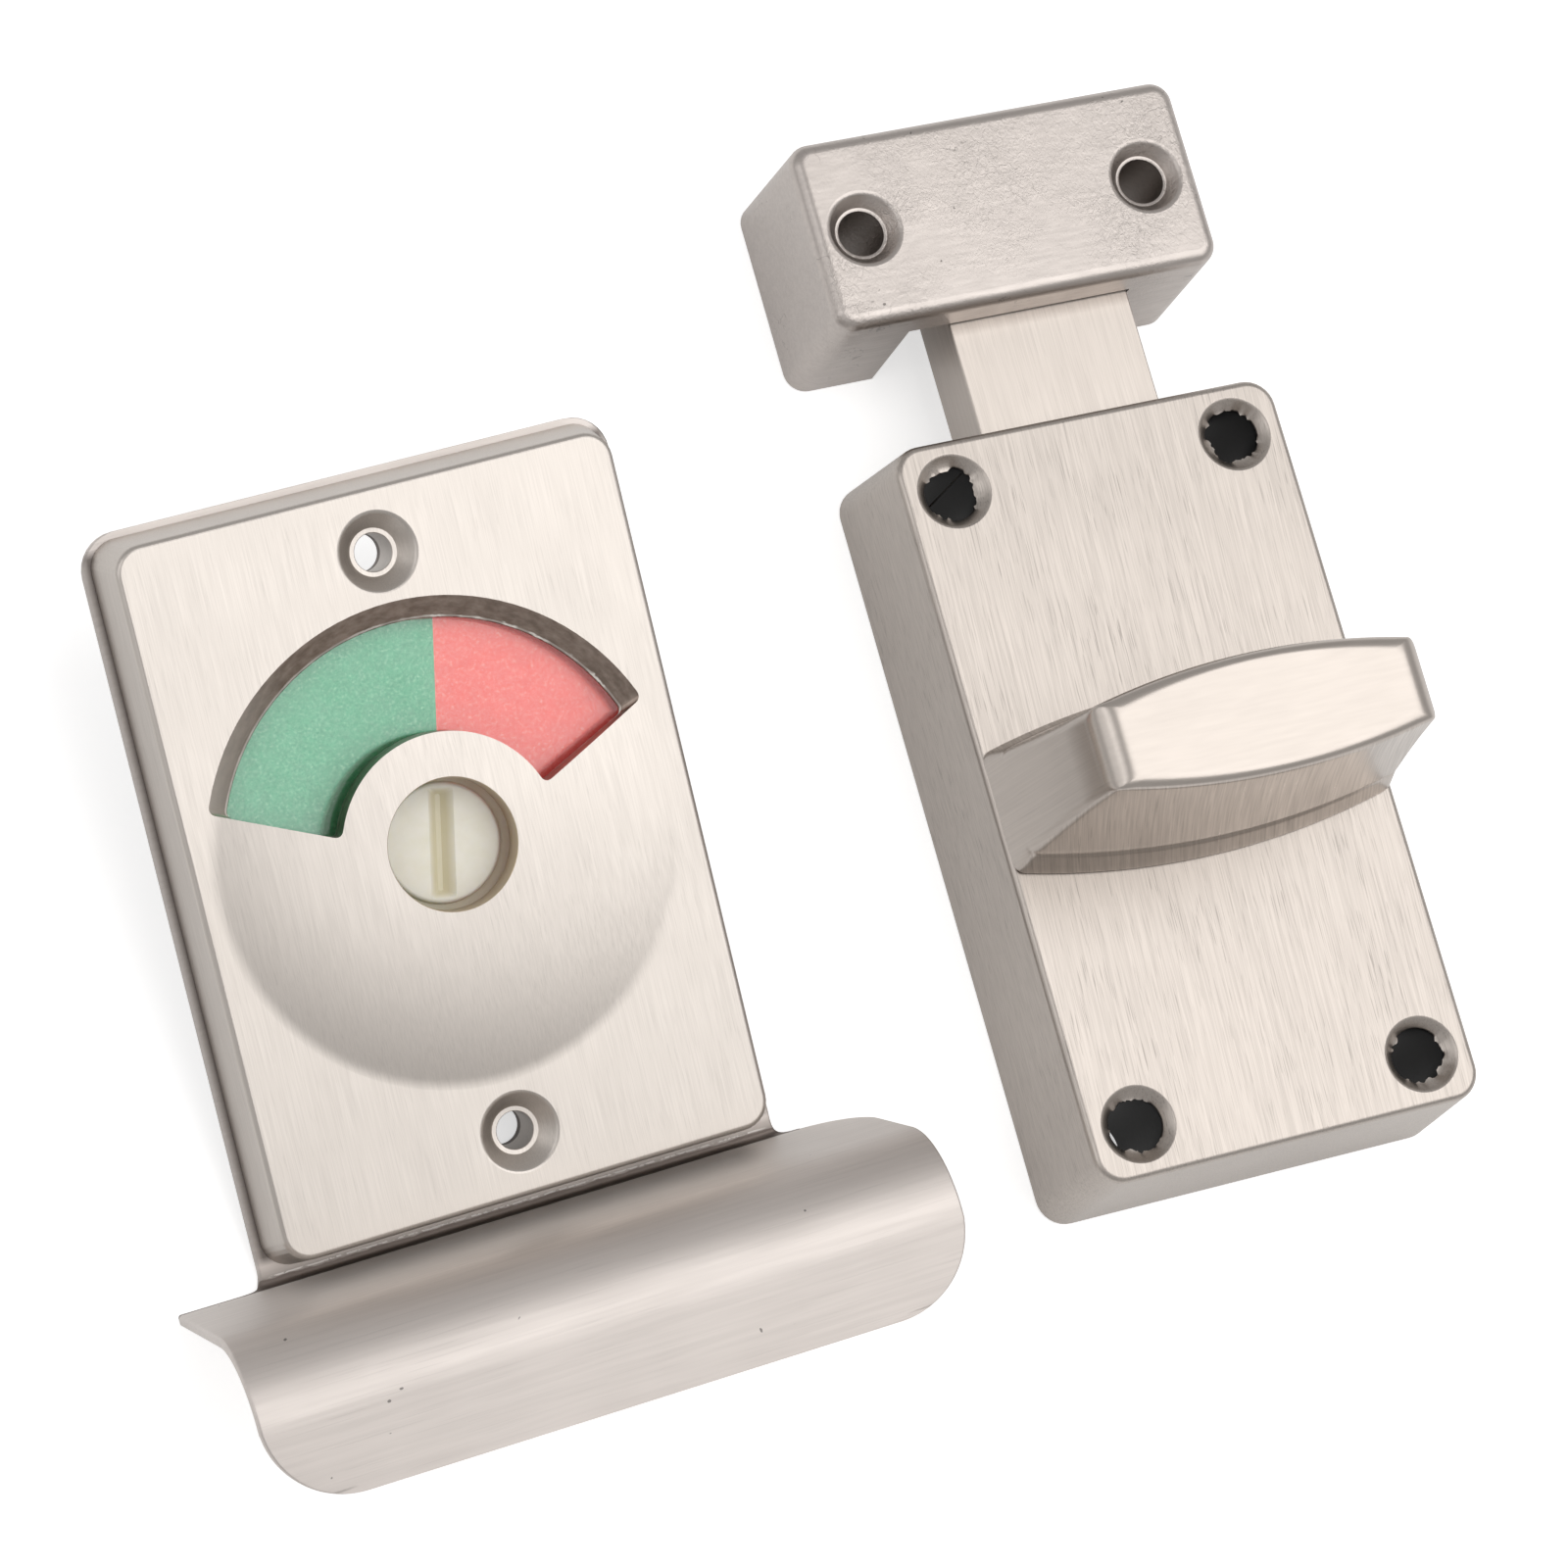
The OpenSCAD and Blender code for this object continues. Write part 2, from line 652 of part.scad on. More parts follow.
module window_cut() {
  through = cover_front_t + dome_rise + 2 * cut;
  translate([0, 0, cover_under_z - cut]) linear_extrude(through) intersection() {
    difference() {
      circle(r = window_r);
      circle(r = window_in_r);
    }
    window_wedge();
  }
  intersection() {
    sink(0, cover_front_t, window_r, window_r + window_bevel);
    translate([0, 0, cover_under_z]) difference() {
      linear_extrude(through) window_wedge();
      translate([0, 0, -cut]) cylinder(r = (window_r + window_in_r) / 2, h = through + 2 * cut);
    }
  }
}

module dome() {
  steps = 12;
  arc = [for (i = [steps : -1 : 0]) let (r = dome_r * i / steps)
    [r, dome_rise * (1 - pow(r / dome_r, 2.6))]];
  rotate_extrude($fn = 96) polygon(concat([[0, -lap], [dome_r, -lap]], arc));
}

module indicator_cover() color("silver") at_indicator() difference() {
  union() {
    difference() {
      translate([0, 0, cover_back_z])
        cast_block(cover_w, cover_l, cover_d, cover_lean, cover_r, cover_edge_r);
      translate([0, 0, cover_back_z - cut]) linear_extrude(cover_d - cover_front_t + cut)
        rounded_rect(cover_in_w, cover_in_l, cover_in_r);
    }
    dome();
    for (s = [-1, 1]) translate([0, s * cover_screw_y / 2, cover_back_z])
      cylinder(r = column_r, h = cover_d - cover_front_t + lap);
    for (p = carrier_places) translate([p.x, p.y, carrier_z])
      cylinder(r = carrier_boss_r, h = cover_under_z - carrier_z + lap);
  }
  window_cut();
  translate([0, 0, cover_under_z - cut]) cylinder(r = centre_r, h = cover_front_t + dome_rise + 2 * cut);
  for (s = [-1, 1]) translate([0, s * cover_screw_y / 2, 0]) {
    translate([0, 0, cover_back_z - cut]) cylinder(r = cover_screw_r, h = cover_d + 2 * cut);
    sink(0, cover_sink_t, cover_ledge_r, cover_sink_r);
  }
  for (p = carrier_places) translate([p.x, p.y, carrier_z - cut])
    cylinder(r = carrier_screw_r + fit_gap, h = carrier_screw_len - carrier_t + end_play + cut);
}

module window_lens() color("white", 0.4) at_indicator()
  translate([0, 0, lens_back_z]) ring(lens_r, lens_in_r, lens_t);

module indicator_disc() color("ivory") at_indicator() rotate(disc_rest) difference() {
  union() {
    translate([0, 0, disc_back_z]) cylinder(r = disc_r, h = disc_t);
    translate([0, 0, disc_back_z]) cylinder(r = boss_r, h = boss_z - disc_back_z - boss_chamfer);
    translate([0, 0, boss_z - boss_chamfer])
      cylinder(r1 = boss_r, r2 = boss_r - boss_chamfer, h = boss_chamfer);
    translate([0, 0, hub_end_z]) cylinder(r = hub_r, h = disc_back_z - hub_end_z + disc_t / 2);
  }
  translate([-slot_w / 2, -slot_l / 2, boss_z - slot_t]) cube([slot_w, slot_l, slot_t + cut]);
  translate([0, 0, hub_clip_z - groove_play])
    ring(hub_r + cut, hub_r - hub_groove_cut, clip_t + 2 * groove_play);
  translate([-tail_sq / 2 - fit_gap, -tail_sq / 2 - fit_gap, hub_end_z - cut])
    cube([tail_sq + 2 * fit_gap, tail_sq + 2 * fit_gap, tail_top_z - hub_end_z + cut]);
}

// Half ring of film, on the left of the disc's centre line for side = -1
module half_film(side) {
  at_indicator() rotate(disc_rest) translate([0, 0, disc_z]) linear_extrude(film_t) intersection() {
    difference() {
      circle(r = film_r);
      circle(r = film_in_r);
    }
    translate([side < 0 ? -2 * film_r : 0, -film_r - cut]) square([2 * film_r, 2 * film_r + 2 * cut]);
  }
}

module green_film() color("mediumseagreen") half_film(-1);

module red_film() color("salmon") half_film(1);

module carrier_plate() color("slategray") at_indicator() difference() {
  translate([0, 0, cover_back_z]) linear_extrude(carrier_t) difference() {
    rounded_rect(cover_in_w - 2 * carrier_play, cover_in_l - 2 * carrier_play, cover_in_r);
    circle(r = rear_bush_r + fit_gap);
    for (s = [-1, 1]) translate([0, s * cover_screw_y / 2]) {
      circle(r = notch_r);
      translate([-notch_r, s > 0 ? 0 : -2 * notch_r]) square(2 * notch_r);
    }
    for (p = carrier_places) translate(p) circle(r = carrier_screw_r + carrier_hole_play);
  }
  for (p = carrier_places) translate([p.x, p.y, 0]) mirror([0, 0, 1])
    sink(-cover_back_z, carrier_head_h + carrier_hole_play, carrier_screw_r + carrier_hole_play,
      carrier_head_r + carrier_hole_play);
}

module carrier_screws() color("dimgray") at_indicator()
  for (p = carrier_places) translate([p.x, p.y, cover_back_z]) difference() {
    union() {
      cylinder(r1 = carrier_head_r, r2 = carrier_screw_r, h = carrier_head_h);
      cylinder(r = carrier_screw_r, h = carrier_screw_len);
    }
    cross_recess(carrier_head_r, carrier_head_h / 2);
  }

module rear_bush() color("burlywood") at_indicator() difference() {
  union() {
    translate([0, 0, carrier_z]) cylinder(r = rear_flange_r, h = rear_flange_z - carrier_z);
    translate([0, 0, rear_bush_end_z]) cylinder(r = rear_bush_r, h = rear_flange_z - rear_bush_end_z);
  }
  translate([0, 0, rear_bush_end_z - cut])
    cylinder(r = hub_bore_r, h = rear_flange_z - rear_bush_end_z + 2 * cut);
}

module bush_ring() color("dimgray") at_indicator()
  translate([0, 0, plate_back_z - ring_gap - ring_t]) ring(ring_r, rear_bush_r + fit_gap, ring_t);

module friction_washer() color("dimgray") at_indicator()
  translate([0, 0, rear_bush_end_z - friction_t]) ring(rear_bush_r, hub_r + washer_play, friction_t);

module hub_clip() color("dimgray") at_indicator() rotate(disc_rest)
  translate([0, 0, hub_clip_z]) open_ring(hub_r + clip_band, hub_r - hub_groove_cut + fit_gap, clip_t,
    clip_mouth * (hub_r - hub_groove_cut));

module drive_tail() color("darkgray") at_indicator() rotate(disc_rest)
  translate([-tail_sq / 2, -tail_sq / 2, tail_end_z]) cube([tail_sq, tail_sq, tail_top_z - tail_end_z]);

// Quarter of a round sheet bend, with its outside towards the side that turn selects
module sheet_bend(r_in, turn) {
  rotate(turn) intersection() {
    difference() {
      circle(r = r_in + plate_t);
      circle(r = r_in);
    }
    square(r_in + plate_t + cut);
  }
}

// Sheet drawn from the side, Y to the right and Z up: fold, shelf, bend and lip
module fold_profile() {
  translate([fold_y, fold_z]) sheet_bend(fold_r, 180);
}

module lip_profile() {
  translate([shelf_y - plate_t, fold_z]) square([plate_t, lip_z - lip_bend_r - fold_z]);
  translate([shelf_y - lip_bend_r, lip_z - lip_bend_r]) sheet_bend(lip_bend_r - plate_t, 0);
  translate([lip_end_y, lip_z - plate_t]) square([shelf_y - lip_bend_r - lip_end_y, plate_t]);
}

module along_x(w) {
  translate([-w / 2, 0, 0]) rotate([90, 0, 90]) linear_extrude(w) children();
}

// Outline of the lip from the front, with its two lower corners round
module lip_outline() {
  half = lip_w / 2;
  translate([-half, lip_end_y + lip_corner_r]) square([lip_w, -lip_end_y]);
  translate([-half + lip_corner_r, lip_end_y]) square([lip_w - 2 * lip_corner_r, -lip_end_y]);
  for (s = [-1, 1]) translate([s * (half - lip_corner_r), lip_end_y + lip_corner_r])
    circle(r = lip_corner_r);
}

module plate_outline() {
  half = plate_w / 2;
  translate([-half, fold_y]) square([plate_w, plate_top_y - plate_r - fold_y]);
  translate([-half + plate_r, fold_y]) square([plate_w - 2 * plate_r, plate_top_y - fold_y]);
  for (s = [-1, 1]) translate([s * (half - plate_r), plate_top_y - plate_r]) circle(r = plate_r);
  for (side = [0, 1]) mirror([side, 0]) translate([half, fold_y]) difference() {
    translate([-lap, 0]) square([wing_r + lap, wing_r]);
    translate([wing_r, wing_r]) circle(r = wing_r);
  }
}

module handle_plate() color("lightgray") at_indicator() difference() {
  union() {
    translate([0, 0, plate_back_z]) linear_extrude(plate_t) plate_outline();
    along_x(plate_w + 2 * wing_r) fold_profile();
    intersection() {
      along_x(lip_w) lip_profile();
      translate([0, 0, plate_back_z]) linear_extrude(lip_reach + 2 * cut) lip_outline();
    }
  }
  translate([0, 0, plate_back_z - cut]) {
    cylinder(r = rear_bush_r + end_play, h = plate_t + 2 * cut);
    for (s = [-1, 1]) translate([0, s * cover_screw_y / 2, 0])
      cylinder(r = cover_screw_r, h = plate_t + 2 * cut);
  }
}

bolt_housing();
thumb_turn();
turn_bush();
turn_wave_washer();
drive_pinion();
sliding_bolt();
guide_plate();
guide_screws();
turn_clip();
keeper_block();
indicator_cover();
window_lens();
indicator_disc();
green_film();
red_film();
carrier_plate();
carrier_screws();
rear_bush();
bush_ring();
friction_washer();
hub_clip();
drive_tail();
handle_plate();
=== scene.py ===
"""Toilet indicator bolt in satin nickel: bolt unit, keeper and indicator unit, on the frame."""

import math

import bmesh
import bpy
from mathutils import Matrix, Vector, noise


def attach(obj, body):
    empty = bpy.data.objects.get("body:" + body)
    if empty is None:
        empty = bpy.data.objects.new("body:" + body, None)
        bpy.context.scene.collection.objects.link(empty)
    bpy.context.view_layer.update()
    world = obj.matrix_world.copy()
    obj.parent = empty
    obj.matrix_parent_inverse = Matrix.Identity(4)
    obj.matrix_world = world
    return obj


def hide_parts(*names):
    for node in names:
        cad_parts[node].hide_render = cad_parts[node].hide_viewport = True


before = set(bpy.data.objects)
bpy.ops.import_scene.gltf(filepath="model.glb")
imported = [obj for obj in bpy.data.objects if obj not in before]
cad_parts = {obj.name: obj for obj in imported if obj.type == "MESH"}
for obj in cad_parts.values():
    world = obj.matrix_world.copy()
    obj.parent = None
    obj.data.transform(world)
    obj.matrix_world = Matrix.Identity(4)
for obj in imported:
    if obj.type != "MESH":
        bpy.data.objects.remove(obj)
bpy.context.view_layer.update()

MM = 0.001
HERE = Matrix.Identity(4)

# Bolt unit, in millimetres, with zero on the back of its case at the turn's axis
CASE_W, CASE_L, CASE_D, CASE_LEAN, CASE_R, CASE_EDGE = 44.9, 82.0, 18.2, 1.1, 3.2, 0.8
CASE_WALL, CASE_FRONT = 2.2, 2.4
CASE_UNDER = CASE_D - CASE_FRONT
CASE_SCREWS = [(x, y) for x in (-16.6, 16.6) for y in (-35.3, 35.3)]
SCREW_R, SINK_R, SINK_T = 2.6, 4.07, 1.5
FLASH_Z = CASE_D - SINK_T + 0.24
FLASH_DEPTH, FLASH_WAVES = 0.5, ((1.5, 0.75), (4.5, 0.4), (12, 0.16))
FLASH_SEEDS = (5.3, 8.0, 10.7, 13.4)
PILLAR_BORE, PILLAR_R = 3.9, 5.1
BOLT_W, BOLT_T, BOLT_Z, BOLT_TAIL, BOLT_NOSE = 21.2, 9.0, 6.0, -11.5, 62.02
BOLT_R, BOLT_EDGE = 0.8, 0.22
RIB_X, RIB_T, GUIDE_Z = 10.75, 1.6, 5.85
PAD_X, PAD_Z = 9.1, 15.15
BOSS_X, BOSS_Y, BOSS_R, BOSS_BORE = 15.55, 22.0, 2.8, 1.27
BUSH_HOLE_R = 7.52
RACK_LO, RACK_HI, RACK_BACK_X, RACK_TIP_X, RACK_ROOT_X = -8.0, 28.42, -7.75, 5.75, 7.75
TOOTH_PITCH, TOOTH_ROOT_HALF, TOOTH_TIP_HALF = math.pi, 1.18, 0.45

# Thumb turn: length, width and end width at its base, above its foot and at its top
TURN_Z, TURN_H, TURN_FOOT, TURN_CROWN = 18.5, 25.3, 4.0, 1.4
TURN_BASE = (44.4, 18.9, 13.8)
TURN_WAIST = (43.34, 16.91, 11.98)
TURN_TOP = (37.6, 13.2, 9.2)
TURN_SOFTNESS, TURN_CORNER, CROWN_CORNER_LOSS = 0.15, 1.3, 0.4
BASE_EDGE, SIDE_EDGE, LEFT_EDGE, RIGHT_EDGE = 0.25, 1.2, 3.3, 3.1
SIDE_HOLLOW, CREASE_DEPTH, CREASE_RISE, CREASE_SPREAD = 0.35, 0.22, 0.35, 0.45
GRIP_HEIGHTS = (
    0.0, 0.12, 0.4, 1.4, 2.6, 3.4, 3.6, 3.75, 3.9, 4.0, 4.1, 4.25, 4.4, 4.6, 4.9, 5.3,
    6, 9, 12, 15, 18, 20.5,
)
SHANK_R, SHANK_FLATS, SHANK_END, JOURNAL_R, JOURNAL_Z = 3.9, 6.4, 2.6, 6.0, 15.15
CLIP_GROOVE, CLIP_GROOVE_R, SOCKET_HALF = (3.35, 4.25), 3.3, 2.1
WASHER_R, WASHER_RECESS = 8.5, 0.5

# Keeper
KEEPER_W, KEEPER_L, KEEPER_D, KEEPER_LEAN, KEEPER_R, KEEPER_EDGE = 45.2, 21.4, 20.5, 0.4, 2.4, 1.55
KEEPER_X, KEEPER_Y = -2.3, 65.1
KEEPER_SCREWS = [(KEEPER_X + x, KEEPER_Y) for x in (-16.6, 16.6)]
SLOT_W, SLOT_L, SLOT_ROOF = 26.2, 14.5, 15.4

# Indicator unit, in its own frame with zero on the cover's front face
COVER_W, COVER_L, COVER_D, COVER_LEAN, COVER_R, COVER_EDGE = 53.8, 74.8, 6.5, 0.9, 3.0, 0.7
COVER_WALL, COVER_FRONT = 1.8, 1.5
COVER_SCREWS = [(0, -30.7), (0, 30.7)]
COVER_SCREW_R, LEDGE_R, COVER_SINK_R, COVER_SINK_T = 2.0, 2.5, 4.15, 1.75
DOME_R, DOME_RISE, DOME_POWER, DOME_FOOT = 24.7, 1.5, 2.6, 0.7
CENTRE_R = 6.85
WINDOW_R, WINDOW_BEVEL, WINDOW_IN_R = 23.2, 2.2, 11.6
WINDOW_HALF, WINDOW_DROP = math.radians(65), 1.7
COLUMN_R, CARRIER_BOSS_R, CARRIER_BORE, CARRIER_Z = 4.85, 2.6, 1.22, -5.3
CARRIER_SCREWS = [(x, y) for x in (-19.9, 19.9) for y in (-30.4, 30.4)]
DISC_R, DISC_Z, DISC_BACK = 24.0, -3.3, -4.4
BOSS_RIM, BOSS_TOP, BOSS_EDGE = 6.3, -2.6, 0.45
HUB_R, HUB_END, HUB_GROOVE, HUB_GROOVE_T = 5.95, -12.7, (-11.95, -11.05), 0.7
TAIL_HOLE, DISC_REST = 4.04, math.radians(-12)
# Width, length, corner and height above the boss, from the bottom of the slot upwards
COIN_SLOT = [
    (0.55, 10.0, 0.2, -1.3), (2.6, 11.3, 0.25, -0.05), (3.0, 11.7, 0.4, 0.05), (5.0, 13.7, 0.8, 1),
]
PLATE_T, PLATE_TOP, PLATE_HALF, PLATE_R, WING_START = 1.2, 39.0, 28.7, 4.0, 1.0
FOLD_Y, FOLD_Z, FOLD_R = -39.3, -5.9, 0.6
LIP_HALF, LIP_Z, LIP_END, LIP_BEND, LIP_CORNER = 38.0, 20.3, -57.1, 9.0, 9.0
SHELF_Y = FOLD_Y - FOLD_R
WORN_CORNER, WORN_START = 6.5, FOLD_Z + 0.3
SHEET_RIM, SHEET_BORE = 0.3, 7.7
TILT, TURN = math.radians(16.5), math.radians(3)
INDICATOR_X, INDICATOR_Y = -80.6, 9.5
INDICATOR_Z = FOLD_R + PLATE_T - FOLD_Y * math.sin(TILT) - FOLD_Z * math.cos(TILT)
INDICATOR = (
    Matrix.Translation(Vector((INDICATOR_X, INDICATOR_Y, INDICATOR_Z)) * MM)
    @ Matrix.Rotation(TURN, 4, "Z")
    @ Matrix.Rotation(TILT, 4, "X")
)

# Studio, in metres. Each lamp has a name, direction, distance, size, radiance and tint.
LENS_MM, SENSOR_MM, CLIP_NEAR, CLIP_FAR = 120.61, 36.0, 0.01, 20
CAMERA_RIGHT = Vector((0.929013, -0.26716, 0.256047))
CAMERA_UP = Vector((0.204935, 0.947579, 0.245143))
CAMERA_BACK = Vector((-0.308117, -0.175268, 0.935064))
CAMERA_PLACE = Vector((-0.2130725, -0.0880089, 0.5312071))
FLOOR_HALF, FLOOR_PLACE = 3.0, (-0.04, 0, -0.00005)
FLOOR_GLOW, FLOOR_SHEEN, ROOM_LIGHT = 0.6, 0.22, 0.48
LIGHT_AIM = Vector((-0.045, 0.01, 0.02))
LAMPS = [
    ("key", (0.40, -0.085, 0.92), 0.9, 0.92, 1.47, (1.0, 0.995, 0.985)),
    ("left", (-0.78, 0.10, 0.62), 0.9, 0.7, 0.56, (1, 1, 1)),
    ("crest", (-0.52, 0.16, 0.84), 0.95, 0.36, 0.75, (1, 1, 1)),
]


# ---- Shapes, in millimetres ----

def quarter(steps):
    """Angles of a quarter turn in equal steps, with both ends."""
    return [math.radians(90 * i / steps) for i in range(steps + 1)]


def rounded_rect(w, l, r, steps=8):
    """Rectangle with round corners, anticlockwise."""
    points = []
    for sx, sy, start in ((1, 1, 0), (-1, 1, 90), (-1, -1, 180), (1, -1, 270)):
        for i in range(steps + 1):
            a = math.radians(start + 90 * i / steps)
            points.append((sx * (w / 2 - r) + r * math.cos(a), sy * (l / 2 - r) + r * math.sin(a)))
    return points


def loft(rings):
    """Closed solid through rings with the same number of points."""
    count = len(rings[0])
    verts = [tuple(p) for ring in rings for p in ring]
    faces = []
    for k in range(len(rings) - 1):
        low, high = k * count, (k + 1) * count
        for i in range(count):
            j = (i + 1) % count
            faces.append((low + i, low + j, high + j, high + i))
    faces.append(tuple(reversed(range(count))))
    faces.append(tuple(range(len(verts) - count, len(verts))))
    return verts, faces


def at_height(outline, z):
    """The flat outline as a ring at height z."""
    return [(x, y, z) for x, y in outline]


def prism(outline, low, high):
    """Straight solid on a flat outline."""
    return loft([at_height(outline, low), at_height(outline, high)])


def slab(x0, x1, y0, y1, z0, z1):
    """Box between its low and high values along each axis."""
    return prism([(x0, y0), (x1, y0), (x1, y1), (x0, y1)], z0, z1)


def block(w, l, d, lean, r, edge, z0=0.0, foot=0.25, steps=8):
    """Cast block with leaning sides, a rounded front edge and a softened back edge."""
    rings = [
        at_height(rounded_rect(w + 2 * (lean - foot), l + 2 * (lean - foot), r - foot), z0),
        at_height(rounded_rect(w + 2 * lean, l + 2 * lean, r), z0 + foot),
    ]
    for a in quarter(steps):
        inset = edge * (1 - math.cos(a))
        z = z0 + d - edge + edge * math.sin(a)
        rings.append(at_height(rounded_rect(w - 2 * inset, l - 2 * inset, r - inset), z))
    return loft(rings)


def lathe(profile, segments=72, flash=()):
    """Solid of revolution through (radius, height) pairs. flash holds the numbers of the rings
    with a ragged edge, and a seed."""
    rings = []
    for k, (r, z) in enumerate(profile):
        ring = []
        for i in range(segments):
            a = 2 * math.pi * i / segments
            r_here = r
            if flash and k in flash[0]:
                seed = flash[1] + 0.15 * k
                shape = sum(
                    share * noise.noise(Vector((wave * math.cos(a), wave * math.sin(a), seed)))
                    for wave, share in FLASH_WAVES
                )
                r_here -= min(max(0.0, shape), FLASH_DEPTH)
            ring.append((r_here * math.cos(a), r_here * math.sin(a), z))
        rings.append(ring)
    return loft(rings)


def rod(r, low, high, segments=72):
    """Cylinder around the Z axis."""
    return lathe([(r, low), (r, high)], segments)


def moved(shape, x=0.0, y=0.0, z=0.0):
    """The shape at another place."""
    verts, faces = shape
    return [(vx + x, vy + y, vz + z) for vx, vy, vz in verts], faces


def copies(shape, places):
    """The shape once at each (x, y)."""
    return [moved(shape, x, y) for x, y in places]


# ---- Objects ----

def add_object(name, shape, place=HERE):
    """Adds a shape to the scene, at a place, with its faces turned outwards."""
    verts, faces = shape
    mesh = bpy.data.meshes.new(name)
    mesh.from_pydata([place @ Vector((x * MM, y * MM, z * MM)) for x, y, z in verts], [], faces)
    work = bmesh.new()
    work.from_mesh(mesh)
    bmesh.ops.recalc_face_normals(work, faces=work.faces)
    work.to_mesh(mesh)
    work.free()
    obj = bpy.data.objects.new(name, mesh)
    bpy.context.scene.collection.objects.link(obj)
    return obj


def bake(obj):
    """The object's modifiers become part of its mesh."""
    bpy.context.view_layer.update()
    graph = bpy.context.evaluated_depsgraph_get()
    mesh = bpy.data.meshes.new_from_object(obj.evaluated_get(graph))
    mesh.name = obj.name
    obj.modifiers.clear()
    obj.data = mesh


def combine_objects(obj, tools, operation):
    """Adds other objects to the object, or takes them away from it, and deletes them."""
    for tool in tools:
        step = obj.modifiers.new("step", "BOOLEAN")
        step.operation = operation
        step.solver = "EXACT"
        step.object = tool
    bake(obj)
    for tool in tools:
        bpy.data.objects.remove(tool)


def combine(obj, shapes, operation, place=HERE):
    """Adds shapes to the object, or takes them away from it."""
    combine_objects(obj, [add_object("tool", shape, place) for shape in shapes], operation)


def shade(obj, angle=34):
    """Smooth shading, with edges sharper than the angle kept sharp."""
    obj.data.shade_smooth()
    obj.data.set_sharp_from_angle(angle=math.radians(angle))
    step = obj.modifiers.new("normals", "WEIGHTED_NORMAL")
    step.keep_sharp = True
    step.weight = 60
    bake(obj)


def dress(obj, body, material, replaces=(), angle=34):
    """Gives a finished piece its shading, material and body, and hides the CAD parts that it
    replaces.
    """
    shade(obj, angle)
    obj.data.materials.clear()
    obj.data.materials.append(material)
    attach(obj, body)
    if replaces:
        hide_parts(*replaces)


# ---- Materials ----

class Tree:
    """Small helper that writes the nodes of a material or world. tilted is for the pieces of the
    indicator unit, whose coordinates are turned to its own frame."""

    def __init__(self, owner, tilted=False):
        self.owner = owner
        self.tilted = tilted
        owner.use_nodes = True
        self.nodes = owner.node_tree.nodes
        self.links = owner.node_tree.links
        self.nodes.clear()

    def add(self, kind, inputs=None, **settings):
        """Adds a node. An input is another node's output, or the socket's own value."""
        node = self.nodes.new(kind)
        for key, value in settings.items():
            setattr(node, key, value)
        for key, value in (inputs or {}).items():
            socket = node.inputs[key]
            if isinstance(value, bpy.types.NodeSocket):
                self.links.new(value, socket)
            else:
                socket.default_value = value
        return node

    def coordinates(self, scale, rotation=(0, 0, 0)):
        """The piece's own coordinates, with features of scale millimetres along each axis."""
        source = self.add("ShaderNodeTexCoord").outputs["Object"]
        if self.tilted:
            place = {"Location": INDICATOR.to_translation(), "Rotation": INDICATOR.to_euler()}
            place["Vector"] = source
            source = self.add("ShaderNodeMapping", place, vector_type="TEXTURE").outputs[0]
        turned = self.add("ShaderNodeMapping", {"Vector": source, "Rotation": rotation}).outputs[0]
        scale = tuple(1 / (s * MM) for s in scale)
        return self.add("ShaderNodeMapping", {"Vector": turned, "Scale": scale}).outputs[0]

    def noise(self, vector, detail=2.0, roughness=0.5, distortion=0.0):
        inputs = {"Vector": vector, "Scale": 1.0}
        inputs.update({"Detail": detail, "Roughness": roughness, "Distortion": distortion})
        return self.add("ShaderNodeTexNoise", inputs).outputs["Fac"]

    def cloud(self, size, detail=2.0, roughness=0.5):
        """Noise with features of one size in all directions, in millimetres."""
        return self.noise(self.coordinates((size, size, size)), detail, roughness)

    def spread(self, value, low, high, to_low=0.0, to_high=1.0):
        """Maps low..high to to_low..to_high and clamps."""
        inputs = {"Value": value, "From Min": low, "From Max": high}
        inputs.update({"To Min": to_low, "To Max": to_high})
        return self.add("ShaderNodeMapRange", inputs).outputs[0]

    def math(self, operation, a, b=0.0):
        return self.add("ShaderNodeMath", {0: a, 1: b}, operation=operation).outputs[0]

    def product(self, first, *others):
        for other in others:
            first = self.math("MULTIPLY", first, other)
        return first

    def length(self, a, b):
        """Length of the flat vector (a, b)."""
        squares = self.math("ADD", self.product(a, a), self.product(b, b))
        return self.math("SQRT", squares)

    def hairline(self, value, half_width):
        """Thin line where the value passes through a half."""
        return self.product(
            self.spread(value, 0.5 - half_width, 0.5),
            self.spread(value, 0.5, 0.5 + half_width, 1.0, 0.0),
        )

    def blend(self, factor, a, b):
        """Mixes two numbers."""
        rest = self.math("SUBTRACT", 1.0, factor)
        return self.math("ADD", self.product(rest, a), self.product(factor, b))

    def mix(self, factor, a, b):
        """Mixes two colours, found on the Mix node's inputs 6 and 7 and output 2."""
        return self.add("ShaderNodeMix", {0: factor, 6: a, 7: b}, data_type="RGBA").outputs[2]

    def bump(self, height, strength, distance, normal=None):
        inputs = {"Height": height, "Strength": strength, "Distance": distance * MM}
        if normal is not None:
            inputs["Normal"] = normal
        return self.add("ShaderNodeBump", inputs).outputs[0]

    def finish(self, shader, kind="ShaderNodeOutputMaterial"):
        """Ends the material or world with this shader."""
        self.add(kind, {"Surface": shader.outputs[0]})
        return self.owner

    def principled(self, inputs):
        return self.finish(self.add("ShaderNodeBsdfPrincipled", inputs))


def material_tree(name, tilted=False):
    return Tree(bpy.data.materials.new(name), tilted)


def colour(r, g, b):
    return (r, g, b, 1.0)


def shaded(c, share):
    """The colour with all its values times share."""
    return (c[0] * share, c[1] * share, c[2] * share, 1.0)


